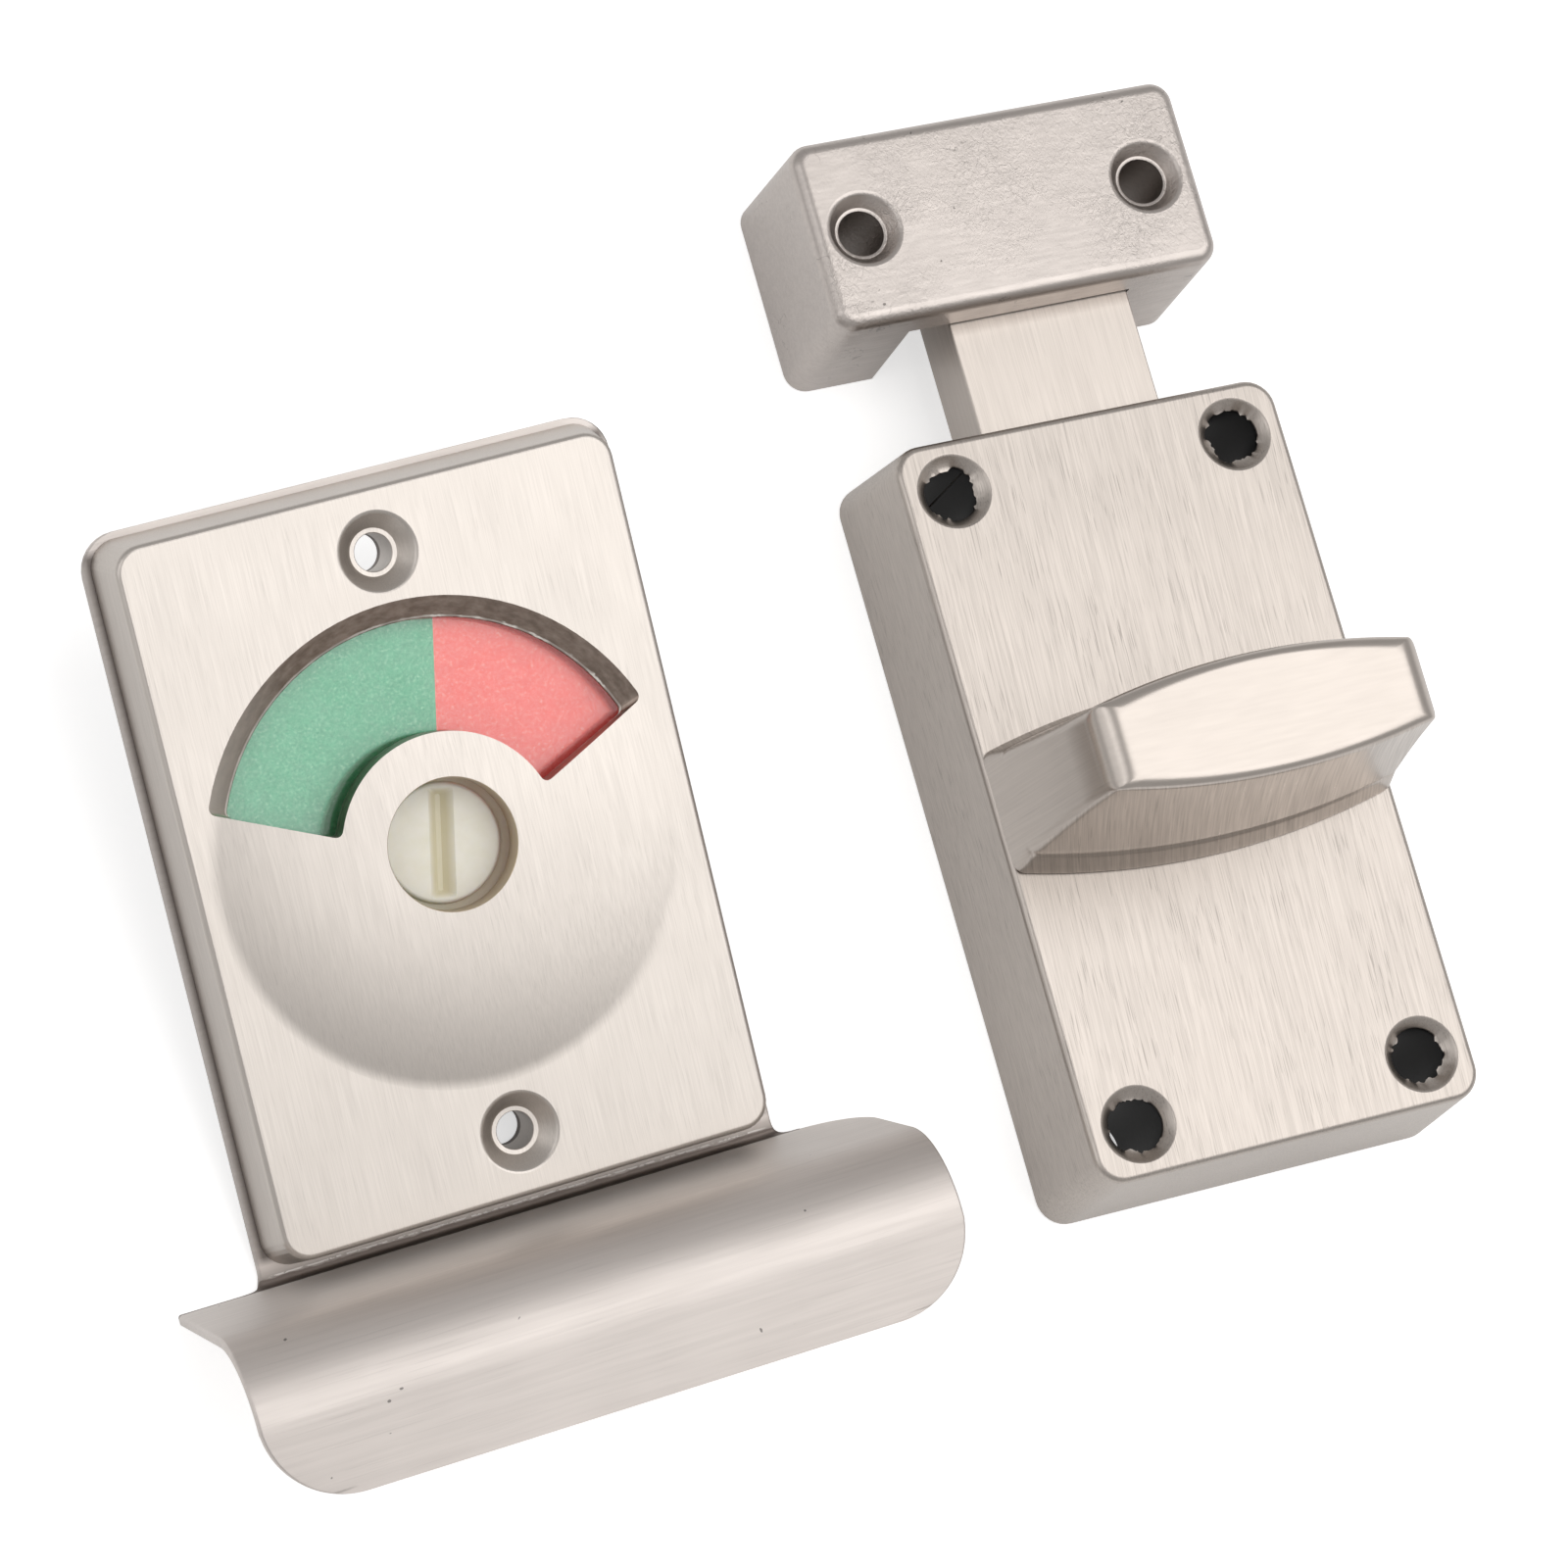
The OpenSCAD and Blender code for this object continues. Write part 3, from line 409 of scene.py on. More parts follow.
def wrinkled(tree, base, body, bumped, strength, rotation):
    """Adds the wrinkled skin of a casting, with thin dark cracks here and there."""
    folds = tree.noise(tree.coordinates((0.55, 0.75, 0.6), rotation), 4.0, 0.62, 1.1)
    region = tree.spread(tree.noise(tree.coordinates((14, 10, 14)), 1.0), 0.38, 0.6, 0.15, 1.0)
    bumped = tree.bump(tree.product(folds, region), strength, 0.10, bumped)
    level = tree.noise(tree.coordinates((5, 3.2, 5)), 3.0, 0.6, 0.8)
    where = tree.spread(tree.noise(tree.coordinates((6, 5, 6)), 1.0), 0.56, 0.62)
    crack = tree.product(tree.hairline(level, 0.006), where, 0.6)
    return tree.mix(crack, body, shaded(base, 0.3)), bumped


def brushed(name, base, grain, turn=0.0, rough=(0.33, 0.39), streak=0.6, lines=0.3, bump=0.07,
            side_grain=(), wrinkle=0.0, specks=0.0, tilted=False, front_share=1.0, masks=()):
    """Plated metal with fine streaks. grain is their size in millimetres along X, Y and Z, and
    side_grain that on the sides that face Y and on those that face X. front_share is how much of
    the streaks stays on the front. A mask is a function that returns a factor, a colour and how
    metallic it is there."""
    tree = material_tree(name, tilted)
    rotation = (0, 0, turn)

    def streaks(size, rotation=rotation):
        fine = tree.noise(tree.coordinates(size, rotation), 1.5, 0.55)
        mark_size = (0.75 * size[0], 0.4 * size[1], 0.75 * size[2])
        return fine, tree.noise(tree.coordinates(mark_size, rotation), 1.0, 0.5)

    fine, marks = streaks(grain)
    if side_grain:
        normal = tree.add("ShaderNodeNewGeometry").outputs["Normal"]
        facing = tree.add("ShaderNodeSeparateXYZ", {"Vector": normal}).outputs
        is_side = tree.spread(facing[2], 0.35, 0.75, 1.0, 0.0)
        is_end = tree.spread(tree.math("ABSOLUTE", facing[0]), 0.6, 0.8)
        long_fine, long_marks = streaks(side_grain[0], (0, math.radians(15.4), 0))
        end_fine, end_marks = streaks(side_grain[1])
        front = tree.spread(fine, 0.0, 1.0, 0.5 - 0.5 * front_share, 0.5 + 0.5 * front_share)
        end_fine = tree.spread(end_fine, 0.0, 1.0, 0.32, 0.68)
        fine = tree.blend(is_side, front, tree.blend(is_end, long_fine, end_fine))
        side_marks = tree.blend(is_end, long_marks, tree.product(end_marks, 0.9))
        marks = tree.blend(is_side, tree.product(marks, front_share), side_marks)
    patches = tree.noise(tree.coordinates((9, 14, 9), rotation), 2.0, 0.5)
    dark = tree.spread(patches, 0.40, 0.62, 0.45, 1.0)
    dark = tree.product(tree.spread(marks, 0.62, 0.67), dark)
    tone = tree.spread(fine, 0.34, 0.66)
    body = tree.mix(tone, shaded(base, 1 - 0.10 * streak), shaded(base, 1 + 0.06 * streak))
    body = tree.mix(tree.spread(patches, 0.35, 0.65, 0.0, 0.05), body, shaded(base, 0.75))
    body = tree.mix(tree.product(dark, lines), body, shaded(base, 0.40))
    bumped = tree.bump(tree.math("SUBTRACT", fine, tree.product(dark, 0.5)), bump, 0.02)
    if wrinkle:
        body, bumped = wrinkled(tree, base, body, bumped, wrinkle, rotation)
    if specks:
        pits = tree.cloud(0.8, 0.0)
        body = tree.mix(tree.spread(pits, 0.875, 0.89, 0.0, specks), body, shaded(base, 0.25))
    metallic = 1.0
    for mask in masks:
        factor, tint, metal = mask(tree)
        body = tree.mix(factor, body, tint)
        if metal < 1:
            metallic = tree.math("SUBTRACT", metallic, tree.product(factor, 1 - metal))
    roughness = tree.math(
        "ADD",
        tree.spread(fine, 0.2, 0.8, rough[1], rough[0]),
        tree.spread(patches, 0.3, 0.7, -0.008, 0.008),
    )
    return tree.principled({
        "Base Color": body,
        "Metallic": metallic,
        "Roughness": roughness,
        "Normal": bumped,
    })


def places(tree):
    """The piece's own x, y and z in millimetres."""
    return tree.add("ShaderNodeSeparateXYZ", {"Vector": tree.coordinates((1, 1, 1))}).outputs


def painted_bore_shade(tree):
    """Painted shade: near-black colour on the walls of the case's screw holes below their
    countersinks.
    """
    x, y, z = places(tree)
    dx = tree.math("SUBTRACT", tree.math("ABSOLUTE", x), CASE_SCREWS[-1][0])
    dy = tree.math("SUBTRACT", tree.math("ABSOLUTE", y), CASE_SCREWS[-1][1])
    near = tree.spread(tree.length(dx, dy), PILLAR_BORE + 0.15, PILLAR_BORE + 0.3, 1.0, 0.0)
    deep = tree.spread(z, FLASH_Z + 0.04, FLASH_Z + 0.06, 1.0, 0.0)
    return tree.product(near, deep), colour(0.035, 0.033, 0.032), 1.0


def window_wall_shading(tree):
    """Painted shade on the bevel and on the walls of the window and the centre hole: dark tints, a
    paler brown one in the centre hole, and painted light that makes them paler towards the left.
    """
    x, y, _ = places(tree)
    up = INDICATOR.to_3x3() @ Vector((0, 0, 1))
    normal = tree.add("ShaderNodeNewGeometry").outputs["True Normal"]
    facing = tree.add("ShaderNodeVectorMath", {0: normal, 1: tuple(up)}, operation="DOT_PRODUCT")
    edge = WINDOW_R + WINDOW_BEVEL
    r = tree.length(x, y)
    within = tree.spread(r, edge + 0.3, edge + 0.5, 1.0, 0.0)
    cloud = tree.noise(tree.coordinates((1.6, 1.6, 0.5)), 3.0, 0.6)
    steep = tree.spread(facing.outputs["Value"], 0.90, 0.95, 1.0, 0.0)
    tint = tree.spread(cloud, 0.35, 0.68)
    tint = tree.mix(tint, colour(0.26, 0.205, 0.17), colour(0.42, 0.34, 0.29))
    # Painted light: the walls turn paler towards the left.
    tint = tree.mix(tree.spread(x, -25.0, -12.0, 0.85, 0.0), tint, colour(0.82, 0.76, 0.70))
    in_centre = tree.spread(r, CENTRE_R + 1, CENTRE_R + 2, 0.75, 0.0)
    tint = tree.mix(in_centre, tint, colour(0.64, 0.55, 0.43))
    return tree.product(within, steep), tint, 1.0


def window_edge_glint(tree):
    """Thin ragged pale line along the lower edge of the window's bevel: a painted glint on the
    rough edge, stronger towards the right.
    """
    x, y, z = places(tree)
    ragged = tree.noise(tree.coordinates((0.8, 0.8, 0.3)), 3.0, 0.7)
    ragged = tree.spread(ragged, 0.3, 0.7, COVER_FRONT - 0.30, COVER_FRONT - 0.16)
    level = tree.math("ADD", z, ragged)
    line = tree.spread(tree.math("ABSOLUTE", level), 0.03, 0.08, 1.0, 0.0)
    broken = tree.spread(tree.noise(tree.coordinates((2.2, 2.2, 0.6)), 2.0), 0.44, 0.56)
    r = tree.length(x, y)
    outside = tree.spread(r, CENTRE_R + 2, CENTRE_R + 3)
    inside = tree.spread(r, WINDOW_R + 0.8, WINDOW_R + 1.0, 1.0, 0.0)
    # Painted light: the glint grows towards the right, where the light comes from.
    to_right = tree.spread(x, -6.0, 6.0, 0.3, 1.0)
    factor = tree.product(line, broken, inside, outside, to_right)
    return factor, colour(0.72, 0.69, 0.64), 0.0


def away_from_fold(tree):
    """Distance from the middle of the sharp bend."""
    _, y, z = places(tree)
    return tree.length(tree.math("ADD", y, 0.5 - FOLD_Y), tree.math("ADD", z, COVER_D - 0.3))


def fold_crease_shade(tree):
    """Painted shade: a dark line in the sharp bend."""
    ragged = tree.noise(tree.coordinates((2.5, 0.6, 0.6)), 3.0, 0.6)
    reach = tree.math("ADD", away_from_fold(tree), tree.spread(ragged, 0.3, 0.7, -0.12, 0.12))
    return tree.spread(reach, 0.72, 0.86, 0.85, 0.0), colour(0.16, 0.13, 0.115), 1.0


def fold_edge_highlights(tree):
    """Painted highlight: broken bright lines on both sides of the bend, like the edge of a seam.
    """
    x = places(tree)[0]
    wavy = tree.cloud(3, 2.0, 0.5)
    off = tree.math("ADD", away_from_fold(tree), tree.spread(wavy, 0.3, 0.7, -0.98, -0.90))
    line = tree.spread(tree.math("ABSOLUTE", off), 0.05, 0.11, 1.0, 0.0)
    dashes = tree.spread(tree.noise(tree.coordinates((0.9, 0.5, 0.5)), 2.0, 0.6), 0.44, 0.50)
    on_plate = tree.spread(tree.math("ABSOLUTE", x), PLATE_HALF - 2, PLATE_HALF - 0.5, 0.8, 0.0)
    return tree.product(line, dashes, on_plate), colour(0.92, 0.89, 0.86), 0.0


def fold_shade(tree):
    """Soft shadow on the plate beside the bend."""
    z = places(tree)[2]
    near = tree.spread(away_from_fold(tree), 0.9, 2.0, 0.6, 0.0)
    on_plate = tree.spread(z, -COVER_D + 0.1, -COVER_D + 0.3, 1.0, 0.0)
    return tree.product(near, on_plate), colour(0.24, 0.21, 0.19), 1.0


def shelf_light_band(tree):
    """Painted light: a paler, less metallic band on the lip's wall, most of all along the bend."""
    x, _, z = places(tree)
    above_bend = tree.spread(z, FOLD_Z - 0.1, FOLD_Z + 0.3)
    fade = tree.spread(z, 6.0, 14.0, 0.45, 0.0)
    band = tree.spread(z, -4.6, -3.4, 1.6, 1.0)
    across = tree.spread(tree.math("ABSOLUTE", x), PLATE_HALF - 2, PLATE_HALF + 3, 1.0, 0.4)
    return tree.product(above_bend, fade, band, across), colour(0.86, 0.83, 0.80), 0.35


def cover_foot_shadow(tree):
    """Painted shadow on the plate along the long sides of the cover."""
    x, y, z = places(tree)
    foot = COVER_W / 2 + COVER_LEAN
    near = tree.spread(tree.math("ABSOLUTE", x), foot + 0.05, foot + 0.75, 0.85, 0.25)
    on_plate = tree.spread(z, -COVER_D + 0.05, -COVER_D + 0.2, 1.0, 0.0)
    along = tree.spread(tree.math("ABSOLUTE", y), COVER_L / 2 - 0.6, COVER_L / 2 + 0.3, 1.0, 0.0)
    return tree.product(near, on_plate, along), colour(0.13, 0.11, 0.10), 1.0


def plain_metal(name, base, rough=(0.25, 0.45), size=0.6):
    """Small hidden hardware: drawn or stamped metal with faint handling marks."""
    tree = material_tree(name)
    cloud = tree.cloud(size, 3.0, 0.6)
    stain = tree.cloud(6, 2.0, 0.5)
    body = tree.mix(tree.spread(stain, 0.35, 0.65), shaded(base, 0.82), base)
    return tree.principled({
        "Base Color": body,
        "Metallic": 1.0,
        "Roughness": tree.spread(cloud, 0.3, 0.7, rough[0], rough[1]),
        "Normal": tree.bump(cloud, 0.25, 0.02),
    })


def moulded(name, base, dirt, rough=0.42, subsurface=0.0, shade_below=None):
    """Moulded plastic with slight clouding, and painted shade, an olive darkening, in its recesses
    below a height.
    """
    tree = material_tree(name, True)
    cloud = tree.cloud(2.5, 3.0, 0.6)
    grain = tree.cloud(0.18, 2.0, 0.5)
    body = tree.mix(tree.spread(cloud, 0.4, 0.75), base, dirt)
    if shade_below is not None:
        # Painted shade: darker olive colour below the given height.
        low = tree.spread(places(tree)[2], shade_below - 0.7, shade_below, 0.55, 0.0)
        body = tree.mix(low, body, colour(0.62, 0.55, 0.32))
    return tree.principled({
        "Base Color": body,
        "Roughness": tree.spread(grain, 0.3, 0.7, rough - 0.06, rough + 0.06),
        "Normal": tree.bump(grain, 0.15, 0.01),
        "Subsurface Weight": subsurface,
        "Subsurface Radius": (1.0, 0.9, 0.6),
        "Subsurface Scale": 1.2 * MM,
    })


def film(name, base, pale, glow):
    """Printed fluorescent film with fine light and dark specks and faint hairlines, and a painted
    glow of its own colour.
    """
    tree = material_tree(name, True)
    specks = tree.cloud(0.32, 2.0, 0.7)
    cloud = tree.cloud(1.1, 4.0, 0.7)
    hair = tree.noise(tree.coordinates((9, 0.6, 1), (0, 0, 0.5)), 1.0, 0.4, 1.4)
    line = tree.hairline(hair, 0.005)
    some = tree.spread(tree.cloud(4, 1.0), 0.5, 0.6)
    body = tree.mix(tree.spread(cloud, 0.35, 0.65), shaded(base, 0.90), shaded(base, 1.04))
    body = tree.mix(tree.spread(specks, 0.30, 0.44, 0.35, 0.0), body, shaded(base, 0.55))
    body = tree.mix(tree.spread(specks, 0.54, 0.68, 0.0, 0.5), body, pale)
    body = tree.mix(tree.product(line, some, 0.45), body, shaded(base, 0.5))
    return tree.principled({
        "Base Color": body,
        "Roughness": 0.6,
        "Specular IOR Level": 0.25,
        "Normal": tree.bump(specks, 0.3, 0.02),
        # Painted light: the film glows with its own colour.
        "Emission Color": body,
        "Emission Strength": glow,
    })


def window_shadow(tree):
    """Share of the light kept off the films beside the window's arcs and right edge."""
    x, y, _ = places(tree)
    r = tree.length(x, y)
    off_inner = tree.math("ADD", r, tree.product(x, 0.115))
    inner = tree.product(
        tree.spread(off_inner, WINDOW_IN_R - 0.1, WINDOW_IN_R + 0.1, 1.0, 0.0),
        tree.spread(r, WINDOW_IN_R - 1.4, WINDOW_IN_R - 1.0),
    )
    off_edge = tree.math(
        "ADD",
        tree.product(x, -math.cos(WINDOW_HALF)),
        tree.product(tree.math("ADD", y, WINDOW_DROP), math.sin(WINDOW_HALF)),
    )
    right = tree.spread(x, 2.0, 3.0)
    edge = tree.product(right, tree.spread(off_edge, 0.55, 0.75, 1.0, 0.0))
    off_outer = tree.math("ADD", r, tree.product(x, 0.035))
    outer = tree.product(right, tree.spread(off_outer, WINDOW_R - 0.1, WINDOW_R + 0.1))
    return tree.math("MAXIMUM", tree.math("MAXIMUM", inner, edge), outer)


def clear_sheet(name, gloss):
    """Clear plastic that shows what lies behind it, with a slightly hazy reflection, and a painted
    shadow along the window's edges, tinted green on the left and red on the right.
    """
    tree = material_tree(name, True)
    cloud = tree.cloud(3, 3.0, 0.6)
    dust = tree.cloud(0.12, 1.0, 0.5)
    on_right = tree.spread(places(tree)[0], -1.0, 1.0)
    # Painted shadow: green and red tints for the films in shade under the window's edges.
    sides = tree.mix(on_right, colour(0.46, 0.68, 0.56), colour(0.80, 0.50, 0.46))
    tint = tree.mix(window_shadow(tree), colour(0.98, 0.99, 0.985), sides)
    through = tree.add("ShaderNodeBsdfTransparent", {"Color": tint})
    front = tree.add("ShaderNodeBsdfGlossy", {
        "Color": colour(1, 1, 1),
        "Roughness": tree.spread(cloud, 0.3, 0.7, 0.10, 0.16),
        "Normal": tree.bump(dust, 0.08, 0.02),
    })
    share = tree.math(
        "ADD",
        tree.spread(cloud, 0.3, 0.7, gloss - 0.006, gloss + 0.006),
        tree.spread(dust, 0.62, 0.75, 0.0, 0.06),
    )
    both = {0: share, 1: through.outputs[0], 2: front.outputs[0]}
    return tree.finish(tree.add("ShaderNodeMixShader", both))


NICKEL = colour(0.535, 0.485, 0.445)
WARM_NICKEL = colour(0.60, 0.555, 0.515)

# Case, bolt and turn share one nickel plating, scaled by shaded(NICKEL, ...) per part: painted
# light levels for how bright each part looks.
case_metal = brushed(
    "case_nickel", shaded(NICKEL, 0.97), (0.15, 11.0, 0.15), turn=math.radians(2.5),
    streak=0.8, lines=0.5, masks=[painted_bore_shade],
)
bolt_metal = brushed(
    "bolt_nickel", shaded(NICKEL, 1.08), (0.14, 12.0, 0.14), streak=0.5, lines=0.15, bump=0.04,
)
turn_metal = brushed(
    "turn_nickel", shaded(NICKEL, 1.05), (5.0, 0.5, 0.5), rough=(0.27, 0.33), streak=1.3,
    side_grain=[(0.22, 6.0, 14.0), (6.0, 0.22, 14.0)], front_share=0.2,
)
keeper_metal = brushed(
    "keeper_nickel", colour(0.56, 0.512, 0.482), (3.0, 0.5, 0.5), streak=0.4, lines=0.1,
    bump=0.05, wrinkle=0.75, specks=0.8,
)
cover_metal = brushed(
    "cover_nickel", WARM_NICKEL, (0.14, 9.0, 0.14), streak=0.5, lines=0.15, bump=0.045,
    tilted=True, masks=[window_wall_shading, window_edge_glint],
)
sheet_metal = brushed(
    "sheet_steel", colour(0.69, 0.638, 0.605), (14.0, 0.5, 0.5), rough=(0.49, 0.54), streak=0.3,
    lines=0.1, bump=0.03, specks=0.8, tilted=True,
    masks=[cover_foot_shadow, shelf_light_band, fold_shade, fold_crease_shade, fold_edge_highlights],
)
zinc = plain_metal("zinc_steel", colour(0.68, 0.69, 0.70))
spring = plain_metal("spring_steel", colour(0.30, 0.29, 0.28), (0.3, 0.5))
brass = plain_metal("brass", colour(0.76, 0.60, 0.33))
tail_steel = plain_metal("tail_steel", colour(0.62, 0.62, 0.62), (0.3, 0.45), 1.2)
nylon = moulded("nylon", colour(0.82, 0.81, 0.77), colour(0.74, 0.72, 0.66))
ivory = moulded(
    "ivory_plastic", colour(0.93, 0.90, 0.80), colour(0.88, 0.85, 0.72), rough=0.38,
    subsurface=0.3, shade_below=BOSS_TOP - 0.1,
)
# The last number is each film's painted glow.
green = film("green_film", colour(0.10, 0.50, 0.275), colour(0.42, 0.76, 0.55), 0.04)
red = film("red_film", colour(0.98, 0.13, 0.115), colour(1.0, 0.42, 0.37), 0.17)
acrylic = clear_sheet("clear_acrylic", 0.05)


# ---- Bolt unit ----

def screw_cutter(seed):
    """Countersunk hole with casting flash at its throat and a rounded edge at the surface."""
    slope = (SINK_R - SCREW_R) / SINK_T
    opening = SCREW_R + 0.42
    profile = [
        (PILLAR_BORE, -1),
        (PILLAR_BORE, CASE_UNDER),
        (opening + 0.25, CASE_UNDER + 0.01),
        (opening + 0.25, FLASH_Z - 0.02),
        (opening, FLASH_Z),
        (opening + 0.02, FLASH_Z + 0.14),
        (opening + 0.10, FLASH_Z + 0.28),
        (SINK_R - 0.2 * slope, CASE_D - 0.2),
        (SINK_R - 0.02, CASE_D - 0.07),
        (SINK_R + 0.10, CASE_D - 0.015),
        (SINK_R + 0.30, CASE_D + 0.03),
        (SINK_R + 0.9, CASE_D + 0.4),
    ]
    return lathe(profile, 120, ((4, 5), seed))


def make_case():
    inner = rounded_rect(CASE_W - 2 * CASE_WALL, CASE_L - 2 * CASE_WALL, CASE_R - CASE_WALL)
    hollow = add_object("hollow", prism(inner, -1, CASE_UNDER))
    bosses = [(x, y) for x in (-BOSS_X, BOSS_X) for y in (-BOSS_Y, BOSS_Y)]
    kept = copies(rod(PILLAR_R, -2, CASE_D), CASE_SCREWS)
    for side, pair in ((-1, bosses[:2]), (1, bosses[2:])):
        rib = sorted((side * RIB_X, side * (RIB_X + RIB_T)))
        pad = sorted((side * PAD_X, side * (RIB_X + 0.4)))
        kept.append(slab(*rib, -CASE_L, CASE_L, GUIDE_Z, CASE_D))
        kept.append(slab(*pad, -CASE_L, CASE_L, PAD_Z, CASE_D))
        kept += copies(rod(BOSS_R, GUIDE_Z, CASE_D), pair)
    combine(hollow, kept, "DIFFERENCE")
    case = add_object("case_shell", block(CASE_W, CASE_L, CASE_D, CASE_LEAN, CASE_R, CASE_EDGE))
    combine_objects(case, [hollow], "DIFFERENCE")
    cuts = [moved(screw_cutter(seed), x, y) for seed, (x, y) in zip(FLASH_SEEDS, CASE_SCREWS)]
    cuts += copies(rod(BOSS_BORE, GUIDE_Z - 1, GUIDE_Z + 5, 32), bosses)
    cuts.append(rod(BUSH_HOLE_R, CASE_UNDER - 1, CASE_D + 1))
    cuts.append(slab(-RIB_X, RIB_X, CASE_L / 2 - CASE_WALL - 1, CASE_L, GUIDE_Z, PAD_Z))
    combine(case, cuts, "DIFFERENCE")
    dress(case, "fixed", case_metal, ["bolt_housing"])


def make_bolt():
    length = BOLT_NOSE - BOLT_TAIL
    shape = block(BOLT_W, length, BOLT_T, 0, BOLT_R, BOLT_EDGE, foot=BOLT_EDGE, steps=4)
    bolt = add_object("bolt_bar", moved(shape, 0, BOLT_TAIL + length / 2, BOLT_Z))
    right = [(RACK_ROOT_X, RACK_LO)]
    for i in range(-1, 9):
        y = i * TOOTH_PITCH
        right += [
            (RACK_ROOT_X, y - TOOTH_ROOT_HALF),
            (RACK_TIP_X, y - TOOTH_TIP_HALF),
            (RACK_TIP_X, y + TOOTH_TIP_HALF),
            (RACK_ROOT_X, y + TOOTH_ROOT_HALF),
        ]
    right.append((RACK_ROOT_X, RACK_HI))
    window = [(RACK_BACK_X, RACK_LO)] + right + [(RACK_BACK_X, RACK_HI)]
    combine(bolt, [prism(window, BOLT_Z - 1, BOLT_Z + BOLT_T + 1)], "DIFFERENCE")
    dress(bolt, "bolt", bolt_metal, ["sliding_bolt"])


def turn_outline(length, width, end_width, corner):
    """Bowed outline with rounded corners, anticlockwise, as (x, y, normal x, normal y)."""
    side_steps, corner_steps, end_steps = 30, 5, 4
    half, bow, top = length / 2 - corner, (width - end_width) / 2, width / 2 - corner
    radius = (half ** 2 + bow ** 2) / (2 * bow)
    lean = math.asin(half / radius)
    points = []
    for s in (1, -1):
        for i in range(side_steps + 1):
            a = math.pi / 2 - lean + 2 * lean * i / side_steps
            x, y = radius * math.cos(a), top - radius + radius * math.sin(a)
            points.append((s * x, s * y, s * math.cos(a), s * math.sin(a)))
        end_y = top - radius + radius * math.cos(lean)
        for i in range(1, corner_steps + 1):
            a = math.pi / 2 + lean + (math.pi / 2 - lean) * i / corner_steps
            points.append((-s * half, s * end_y, s * math.cos(a), s * math.sin(a)))
        for i in range(1, end_steps):
            points.append((-s * half, s * end_y * (1 - 2 * i / end_steps), -s, 0))
        for i in range(corner_steps):
            a = math.pi + (math.pi / 2 - lean) * i / corner_steps
            points.append((-s * half, -s * end_y, s * math.cos(a), s * math.sin(a)))
    return [(x + corner * nx, y + corner * ny, nx, ny) for x, y, nx, ny in points]


def grip_size(h):
    """Length, width and end width of the thumb turn at height h above its base."""
    def straight(at):
        at = min(max(at, 0.0), TURN_H)
        if at < TURN_FOOT:
            share, low, high = at / TURN_FOOT, TURN_BASE, TURN_WAIST
        else:
            share, low, high = at - TURN_FOOT, TURN_WAIST, TURN_TOP
            share = min(share / (TURN_H - TURN_CROWN - TURN_FOOT), 1.0)
        return [a + (b - a) * share for a, b in zip(low, high)]

    reach = TURN_SOFTNESS if TURN_SOFTNESS < h < TURN_H - TURN_SOFTNESS else 0.0
    samples = [straight(h + reach * k / 2) for k in (-2, -1, 0, 1, 2)]
    size = [sum(s[i] for s in samples) / 5 for i in range(3)]
    rise = min(max((h - TURN_FOOT) / (TURN_H - TURN_FOOT), 0), 1)
    hollow = SIDE_HOLLOW * math.sin(math.pi * rise)
    hollow += CREASE_DEPTH * math.exp(-((h - TURN_FOOT - CREASE_RISE) / CREASE_SPREAD) ** 2)
    return size[0], size[1] - 2 * hollow, size[2] - hollow


def make_grip():
    rings = []
    for h in GRIP_HEIGHTS:
        length, width, end_width = grip_size(h)
        trim = 0.0
        if h < BASE_EDGE:
            trim = BASE_EDGE - BASE_EDGE * math.sin(math.acos(1 - h / BASE_EDGE))
        ring = turn_outline(length - 2 * trim, width - 2 * trim, end_width - 2 * trim, TURN_CORNER)
        rings.append([(x, y, TURN_Z + h) for x, y, *_ in ring])
    length, width, end_width = grip_size(TURN_H - TURN_CROWN)
    for a in quarter(8):
        fall = 1 - math.cos(a)
        left, right, side = LEFT_EDGE * fall, RIGHT_EDGE * fall, SIDE_EDGE * fall
        corner = TURN_CORNER - CROWN_CORNER_LOSS * fall
        ring = turn_outline(length - left - right, width - 2 * side, end_width - 2 * side, corner)
        shift = (left - right) / 2
        points = []
        for x, y, nx, _ in ring:
            edge = SIDE_EDGE + ((LEFT_EDGE if nx < 0 else RIGHT_EDGE) - SIDE_EDGE) * nx * nx
            points.append((x + shift, y, TURN_Z + TURN_H - edge * (1 - math.sin(a))))
        rings.append(points)
    grip = add_object("turn_grip", loft(rings))
    combine(grip, [rod(WASHER_R, TURN_Z - 1, TURN_Z + WASHER_RECESS)], "DIFFERENCE")
    dress(grip, "turn", turn_metal, ["thumb_turn"])


def make_shank():
    steps = 24
    flat = math.asin(SHANK_FLATS / 2 / SHANK_R)
    section = []
    for s in (1, -1):
        for i in range(steps + 1):
            a = -flat + 2 * flat * i / steps
            section.append((s * SHANK_R * math.cos(a), s * SHANK_R * math.sin(a)))
    shank = add_object("turn_shank", prism(section, SHANK_END, JOURNAL_Z + 0.5))
    combine(shank, [rod(JOURNAL_R, JOURNAL_Z, TURN_Z + 1)], "UNION")
    groove = add_object("groove", rod(SHANK_R + 1, *CLIP_GROOVE))
    combine(groove, [rod(CLIP_GROOVE_R, 2, 6)], "DIFFERENCE")
    combine_objects(shank, [groove], "DIFFERENCE")
    half = SOCKET_HALF
    socket = slab(-half, half, -half, half, SHANK_END - 1, SHANK_END + 10)
    combine(shank, [socket], "DIFFERENCE")
    dress(shank, "turn", turn_metal)


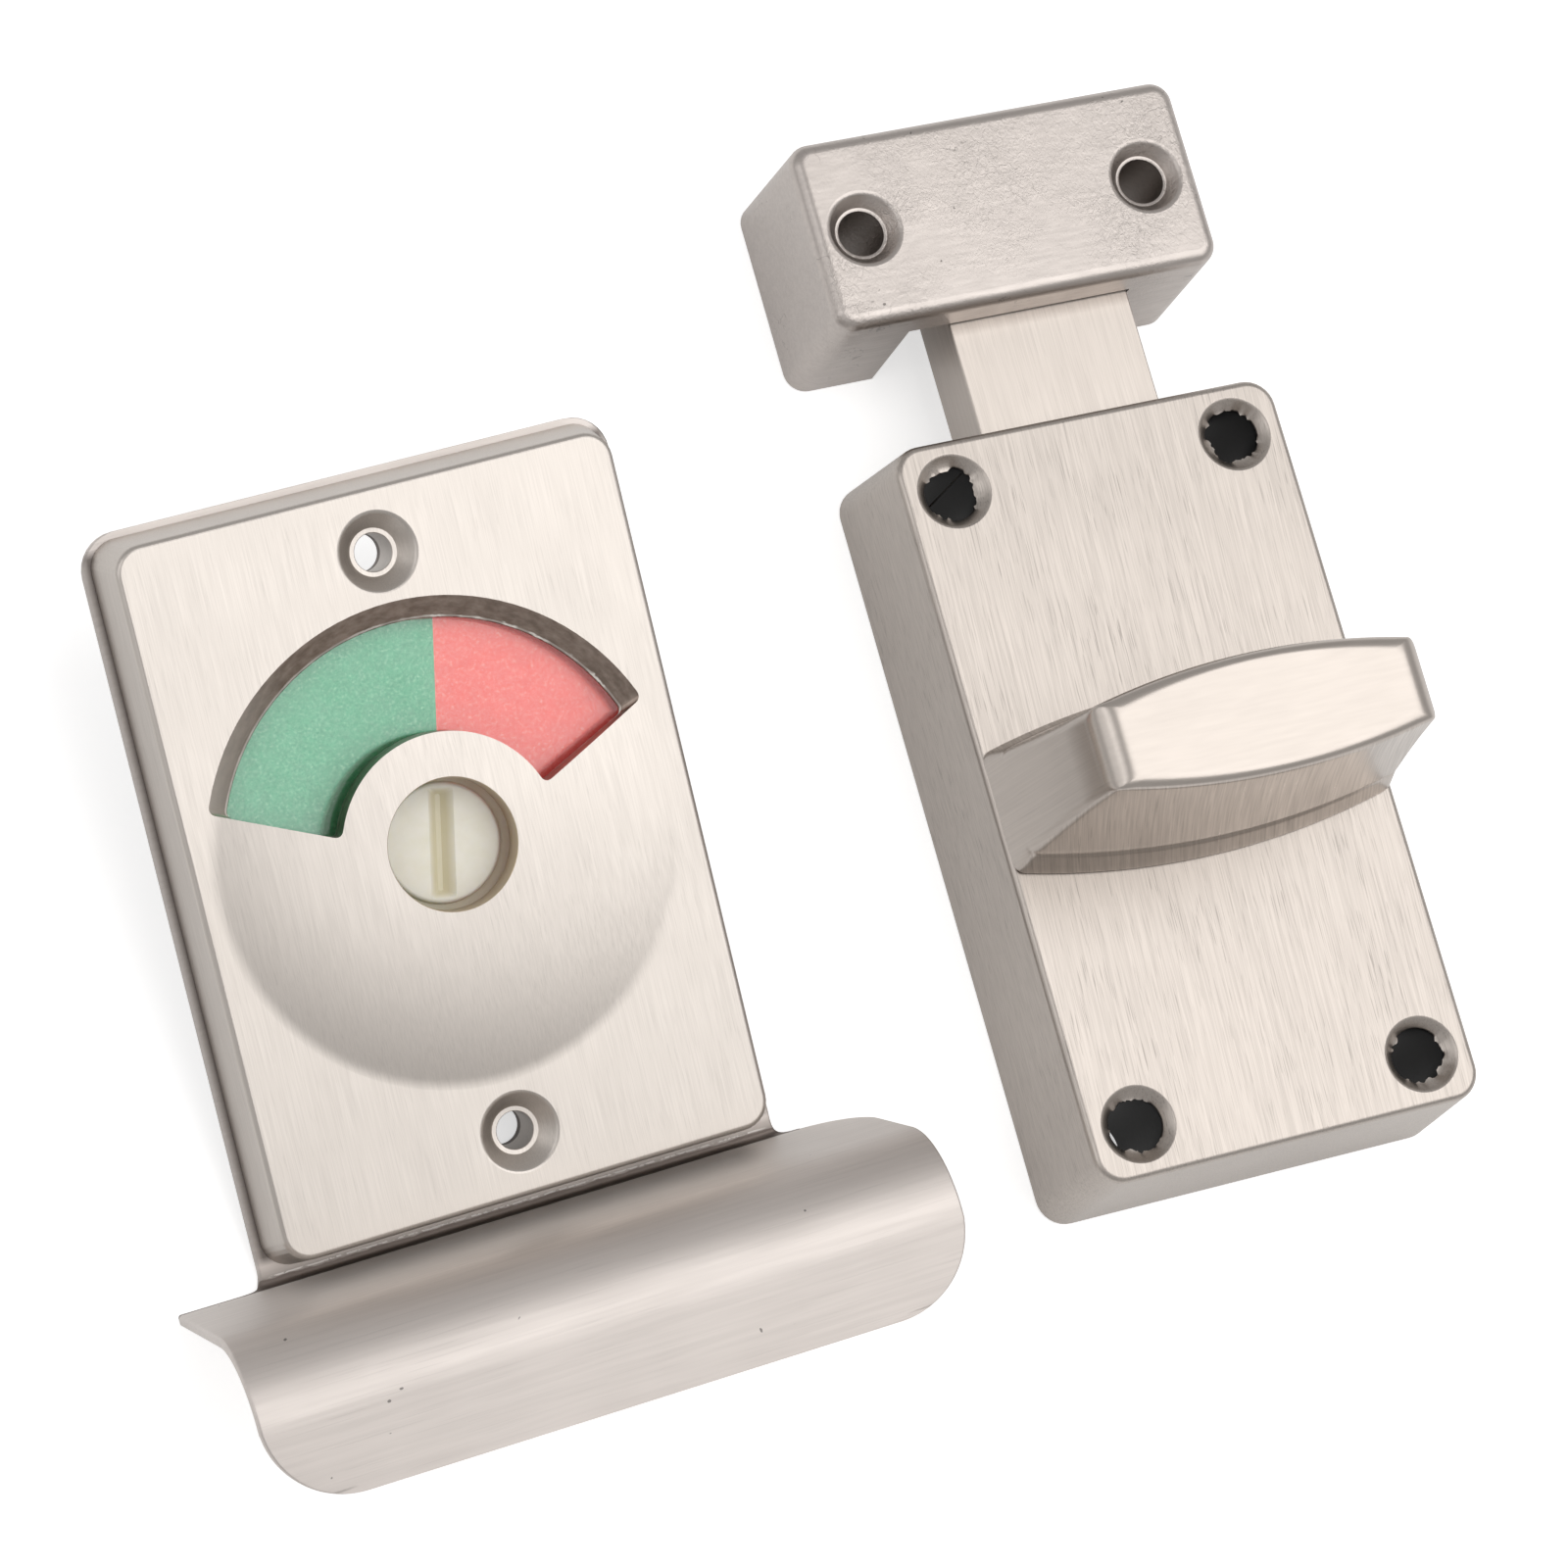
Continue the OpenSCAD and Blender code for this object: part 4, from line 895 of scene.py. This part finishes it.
def make_keeper():
    shape = block(KEEPER_W, KEEPER_L, KEEPER_D, KEEPER_LEAN, KEEPER_R, KEEPER_EDGE, steps=12)
    keeper = add_object("keeper_body", moved(shape, KEEPER_X, KEEPER_Y))
    front, left, right = KEEPER_Y - KEEPER_L / 2, KEEPER_X - SLOT_W / 2, KEEPER_X + SLOT_W / 2
    cuts = [slab(left, right, front - 2, front + SLOT_L, -1, SLOT_ROOF)]
    throat = KEEPER_D - SINK_T
    sink = lathe([
        (SCREW_R - 0.1, -1),
        (SCREW_R - 0.1, throat - 0.35),
        (SCREW_R - 0.03, throat - 0.20),
        (SCREW_R + 0.12, throat - 0.12),
        (SCREW_R + 0.30, throat - 0.10),
        (SCREW_R + 0.38, throat),
        (SINK_R - 0.25, KEEPER_D - 0.25),
        (SINK_R + 0.02, KEEPER_D - 0.08),
        (SINK_R + 0.22, KEEPER_D - 0.015),
        (SINK_R + 0.5, KEEPER_D + 0.03),
        (SINK_R + 1.2, KEEPER_D + 0.4),
    ])
    cuts += copies(sink, KEEPER_SCREWS)
    combine(keeper, cuts, "DIFFERENCE")
    dress(keeper, "fixed", keeper_metal, ["keeper_block"])


# ---- Indicator unit ----

def window_outline(outer):
    """Sector between two arcs and two straight edges, with its corners softened."""
    soft_in, soft_out, steps = 1.0, 0.9, 40
    sin_w, cos_w = math.sin(WINDOW_HALF), math.cos(WINDOW_HALF)

    def edge_at(r):
        return WINDOW_DROP * cos_w + math.sqrt(r * r - (WINDOW_DROP * sin_w) ** 2)

    def on_edge(t, side):
        return Vector((side * t * sin_w, t * cos_w - WINDOW_DROP))

    def on_arc(r, a):
        return Vector((r * math.sin(a), r * math.cos(a)))

    def corner_angle(r):
        p = on_edge(edge_at(r), 1)
        return math.atan2(p.x, p.y)

    def bend(a, corner, b):
        made = []
        for i in range(7):
            t = i / 6
            made.append(a * (1 - t) ** 2 + corner * 2 * t * (1 - t) + b * t * t)
        return made

    t_in, t_out = edge_at(WINDOW_IN_R), edge_at(outer)
    a_in = corner_angle(WINDOW_IN_R) - soft_in / WINDOW_IN_R
    a_out = corner_angle(outer) - soft_out / outer
    points = [on_arc(outer, a_out * (1 - 2 * i / steps)) for i in range(steps + 1)]
    points += bend(on_arc(outer, -a_out), on_edge(t_out, -1), on_edge(t_out - soft_out, -1))[1:]
    points += bend(on_edge(t_in + soft_in, -1), on_edge(t_in, -1), on_arc(WINDOW_IN_R, -a_in))
    points += [on_arc(WINDOW_IN_R, a_in * (-1 + 2 * i / steps)) for i in range(1, steps)]
    points += bend(on_arc(WINDOW_IN_R, a_in), on_edge(t_in, 1), on_edge(t_in + soft_in, 1))
    points += bend(on_edge(t_out - soft_out, 1), on_edge(t_out, 1), on_arc(outer, a_out))[:-1]
    return [(p.x, p.y) for p in points]


def dome_height(r):
    return DOME_RISE * (1 - (r / DOME_R) ** DOME_POWER)


def make_cover():
    back = -COVER_D
    shape = block(COVER_W, COVER_L, COVER_D, COVER_LEAN, COVER_R, COVER_EDGE, back, 0.15)
    cover = add_object("cover_body", shape, INDICATOR)
    profile = [(DOME_R + DOME_FOOT, -0.8), (DOME_R + DOME_FOOT, -0.002)]
    start, reach = dome_height(DOME_R - DOME_FOOT), 2 * DOME_FOOT
    for i in range(1, 9):
        profile.append((DOME_R + DOME_FOOT - reach * i / 8, start * (i / 8) ** 2))
    for i in range(1, 24):
        r = (DOME_R - DOME_FOOT) * (1 - i / 24)
        profile.append((r, dome_height(r)))
    profile.append((0.4, DOME_RISE))
    combine(cover, [lathe(profile, 144)], "UNION", INDICATOR)
    inner = rounded_rect(COVER_W - 2 * COVER_WALL, COVER_L - 2 * COVER_WALL, COVER_R - COVER_WALL)
    hollow = add_object("hollow", prism(inner, back - 1, -COVER_FRONT), INDICATOR)
    kept = copies(rod(COLUMN_R, back - 2, 0), COVER_SCREWS)
    kept += copies(rod(CARRIER_BOSS_R, CARRIER_Z, 0, 48), CARRIER_SCREWS)
    combine(hollow, kept, "DIFFERENCE", INDICATOR)
    combine_objects(cover, [hollow], "DIFFERENCE")
    flare = WINDOW_BEVEL / COVER_FRONT
    bevel_r = WINDOW_R + WINDOW_BEVEL
    window = loft([at_height(window_outline(r), z) for r, z in (
        (WINDOW_R, -COVER_FRONT - 1),
        (WINDOW_R, -COVER_FRONT + 0.12),
        (WINDOW_R + 0.08, -COVER_FRONT + 0.20),
        (WINDOW_R + 0.26, -COVER_FRONT + 0.27),
        (bevel_r - 0.1 * flare, -0.1),
        (bevel_r + 0.05, 0.0),
        (bevel_r + 0.4, 0.12),
        (bevel_r + 1.2, 2.5),
    )])
    centre = lathe([
        (CENTRE_R, -COVER_FRONT - 1),
        (CENTRE_R, DOME_RISE - 0.25),
        (CENTRE_R + 0.06, DOME_RISE - 0.08),
        (CENTRE_R + 0.25, DOME_RISE + 0.02),
        (CENTRE_R + 0.8, DOME_RISE + 0.3),
    ], 96)
    sink = lathe([
        (COVER_SCREW_R, back - 1),
        (COVER_SCREW_R, -COVER_SINK_T - 0.06),
        (COVER_SCREW_R + 0.06, -COVER_SINK_T),
        (LEDGE_R, -COVER_SINK_T + 0.02),
        (LEDGE_R + 0.06, -COVER_SINK_T + 0.08),
        (COVER_SINK_R - 0.2, -0.2),
        (COVER_SINK_R - 0.02, -0.06),
        (COVER_SINK_R + 0.12, -0.012),
        (COVER_SINK_R + 0.32, 0.03),
        (COVER_SINK_R + 1.0, 0.5),
    ])
    cuts = [window, centre] + copies(sink, COVER_SCREWS)
    cuts += copies(rod(CARRIER_BORE, CARRIER_Z - 1, -2.0, 32), CARRIER_SCREWS)
    combine(cover, cuts, "DIFFERENCE", INDICATOR)
    dress(cover, "fixed", cover_metal, ["indicator_cover"], angle=7)


def make_disc():
    place = INDICATOR @ Matrix.Rotation(DISC_REST, 4, "Z")
    low, high = HUB_GROOVE
    profile = [
        (HUB_R, HUB_END),
        (HUB_R, low),
        (HUB_R - HUB_GROOVE_T, low + 0.01),
        (HUB_R - HUB_GROOVE_T, high - 0.01),
        (HUB_R, high),
        (HUB_R, DISC_BACK),
        (DISC_R, DISC_BACK + 0.01),
        (DISC_R, DISC_Z),
        (BOSS_RIM + 0.05, DISC_Z + 0.01),
    ]
    for a in quarter(6):
        r = BOSS_RIM - BOSS_EDGE * (1 - math.cos(a))
        profile.append((r, BOSS_TOP - BOSS_EDGE * (1 - math.sin(a))))
    disc = add_object("disc_moulding", lathe(profile, 120), place)
    groove = loft([at_height(rounded_rect(w, l, r, 3), BOSS_TOP + z) for w, l, r, z in COIN_SLOT])
    half = TAIL_HOLE / 2
    socket = slab(-half, half, -half, half, HUB_END - 1, DISC_BACK - 0.6)
    combine(disc, [groove, socket], "DIFFERENCE", place)
    dress(disc, "indicator", ivory, ["indicator_disc"])


def sheet_stations():
    """Middle line of the bent sheet, from its top edge to the end of its lip, as (y, z,
    direction y, direction z, half width)."""
    mid, low = PLATE_T / 2, -COVER_D - PLATE_T / 2
    stations = []
    for a in quarter(8):
        half = PLATE_HALF - PLATE_R * (1 - math.sin(a))
        stations.append((PLATE_TOP - PLATE_R * (1 - math.cos(a)), low, -1, 0, half))
    bend = FOLD_R + mid
    sweep = WING_START + bend * math.pi / 2

    def half_at(run):
        """Half width after a run from where the sheet starts to widen."""
        return PLATE_HALF + sweep * (1 - math.sqrt(max(0.0, 1 - (run / sweep) ** 2)))

    for y in (20, 0, -20, FOLD_Y + WING_START, FOLD_Y + WING_START / 2):
        stations.append((y, low, -1, 0, half_at(max(0.0, FOLD_Y + WING_START - y))))
    for a in quarter(12):
        y, z = FOLD_Y - bend * math.sin(a), FOLD_Z - bend * math.cos(a)
        stations.append((y, z, -math.cos(a), math.sin(a), half_at(WING_START + bend * a)))
    shelf = SHELF_Y - mid
    stations.append((shelf, FOLD_Z + 0.02, 0, 1, LIP_HALF))
    for a in quarter(16):
        stations.append((shelf, WORN_START + WORN_CORNER * (1 - math.cos(a)), 0, 1, LIP_HALF))
    stations.append((shelf, LIP_Z - LIP_BEND, 0, 1, LIP_HALF))
    bend = LIP_BEND - mid
    for a in quarter(24)[1:]:
        y, z = SHELF_Y - LIP_BEND + bend * math.cos(a), LIP_Z - LIP_BEND + bend * math.sin(a)
        stations.append((y, z, -math.sin(a), math.cos(a), LIP_HALF))
    for a in quarter(32)[1:]:
        y = LIP_END + LIP_CORNER * (1 - math.sin(a))
        if y < SHELF_Y - LIP_BEND - 0.05:
            stations.append((y, LIP_Z - mid, -1, 0, LIP_HALF - LIP_CORNER * (1 - math.cos(a))))
    return stations


def sheet_section(half):
    """Section across the sheet as (x, height above its middle), with rounded edges."""
    across, top, flat = 24, PLATE_T / 2, half - SHEET_RIM

    def edge(side, face, angles):
        points = []
        for a in map(math.radians, angles):
            x, t = flat + SHEET_RIM * math.sin(a), top - SHEET_RIM + SHEET_RIM * math.cos(a)
            points.append((side * x, face * t))
        return points

    front = [(flat - 2 * flat * i / across, top) for i in range(across + 1)]
    back = [(-x, -t) for x, t in front]
    left = [(-half, top - SHEET_RIM), (-half, SHEET_RIM - top)]
    right = [(half, SHEET_RIM - top), (half, top - SHEET_RIM)]
    return (
        front + edge(-1, 1, (30, 60)) + left + edge(-1, -1, (60, 30))
        + back + edge(1, -1, (30, 60)) + right + edge(1, 1, (60, 30))
    )


def make_sheet():
    rings = []
    for y, z, dy, dz, half in sheet_stations():
        to_go = WORN_START + WORN_CORNER - z
        clipped = 0.0
        if dz == 1 and half == LIP_HALF and to_go > 0:
            clipped = WORN_CORNER - math.sqrt(max(0.0, WORN_CORNER ** 2 - to_go ** 2))
        shrink = (2 * half - clipped) / (2 * half)
        rings.append([
            (-half + (x + half) * shrink, y + dz * t, z - dy * t) for x, t in sheet_section(half)
        ])
    sheet = add_object("pull_sheet", loft(rings), INDICATOR)
    back = -COVER_D - PLATE_T
    cuts = [rod(SHEET_BORE, back - 1, -COVER_D + 1)]
    cuts += copies(rod(COVER_SCREW_R, back - 1, -COVER_D + 1, 48), COVER_SCREWS)
    combine(sheet, cuts, "DIFFERENCE", INDICATOR)
    dress(sheet, "fixed", sheet_metal, ["handle_plate"])


def finish_hidden_nodes():
    """The small parts keep their own meshes and get their materials."""
    finishes = [
        (nylon, ["turn_bush"]),
        (brass, ["drive_pinion", "rear_bush"]),
        (spring, ["turn_wave_washer", "turn_clip", "bush_ring", "friction_washer", "hub_clip"]),
        (zinc, ["guide_plate", "guide_screws", "carrier_plate", "carrier_screws"]),
        (tail_steel, ["drive_tail"]),
        (acrylic, ["window_lens"]),
        (green, ["green_film"]),
        (red, ["red_film"]),
    ]
    for material, names in finishes:
        for name in names:
            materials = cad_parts[name].data.materials
            materials.clear()
            materials.append(material)


# ---- Camera, floor and light ----

def make_camera():
    data = bpy.data.cameras.new("camera")
    data.lens, data.sensor_width = LENS_MM, SENSOR_MM
    data.clip_start, data.clip_end = CLIP_NEAR, CLIP_FAR
    camera = bpy.data.objects.new("camera", data)
    turn = Matrix((CAMERA_RIGHT, CAMERA_UP, CAMERA_BACK)).transposed().to_4x4()
    camera.matrix_world = Matrix.Translation(CAMERA_PLACE) @ turn
    bpy.context.scene.collection.objects.link(camera)
    bpy.context.scene.camera = camera


def make_floor():
    """Pale floor that the camera sees as white, and that keeps the object's shadow."""
    half = FLOOR_HALF
    mesh = bpy.data.meshes.new("floor")
    corners = [(-half, -half, 0), (half, -half, 0), (half, half, 0), (-half, half, 0)]
    mesh.from_pydata(corners, [], [(0, 1, 2, 3)])
    floor = bpy.data.objects.new("floor", mesh)
    floor.location = FLOOR_PLACE
    bpy.context.scene.collection.objects.link(floor)
    tree = material_tree("floor_white")
    path = tree.add("ShaderNodeLightPath")
    seen = tree.math(
        "ADD",
        tree.product(path.outputs["Is Camera Ray"], FLOOR_GLOW),
        tree.product(path.outputs["Is Glossy Ray"], FLOOR_SHEEN),
    )
    cloth = tree.add("ShaderNodeBsdfDiffuse", {"Color": colour(0.8, 0.8, 0.8)})
    glow = tree.add("ShaderNodeEmission", {"Color": colour(1, 1, 1), "Strength": seen})
    both = tree.add("ShaderNodeAddShader", {0: cloth.outputs[0], 1: glow.outputs[0]})
    mesh.materials.append(tree.finish(both))


def make_world():
    """Pale room that the camera sees as white."""
    tree = Tree(bpy.data.worlds.new("studio"))
    room = {"Color": colour(1.0, 0.99, 0.98), "Strength": ROOM_LIGHT}
    room = tree.add("ShaderNodeBackground", room)
    white = tree.add("ShaderNodeBackground", {"Color": colour(1, 1, 1), "Strength": 1.0})
    seen = tree.add("ShaderNodeLightPath").outputs["Is Camera Ray"]
    both = tree.add("ShaderNodeMixShader", {0: seen, 1: room.outputs[0], 2: white.outputs[0]})
    bpy.context.scene.world = tree.finish(both, "ShaderNodeOutputWorld")


def soft_light(name, direction, distance, size, radiance, tint):
    """Square soft box that shines from a direction onto the middle of the object."""
    data = bpy.data.lights.new(name, "AREA")
    data.shape = "SQUARE"
    data.size = size
    data.energy = radiance * math.pi * size * size
    data.color = tint
    lamp = bpy.data.objects.new(name, data)
    away = Vector(direction).normalized()
    lamp.location = LIGHT_AIM + away * distance
    lamp.rotation_mode = "QUATERNION"
    lamp.rotation_quaternion = away.to_track_quat("Z", "Y")
    bpy.context.scene.collection.objects.link(lamp)


make_camera()
make_world()
make_floor()
for lamp in LAMPS:
    soft_light(*lamp)

make_case()
make_bolt()
make_grip()
make_shank()
make_keeper()
make_cover()
make_disc()
make_sheet()
finish_hidden_nodes()

bpy.context.scene.view_settings.view_transform = "Standard"
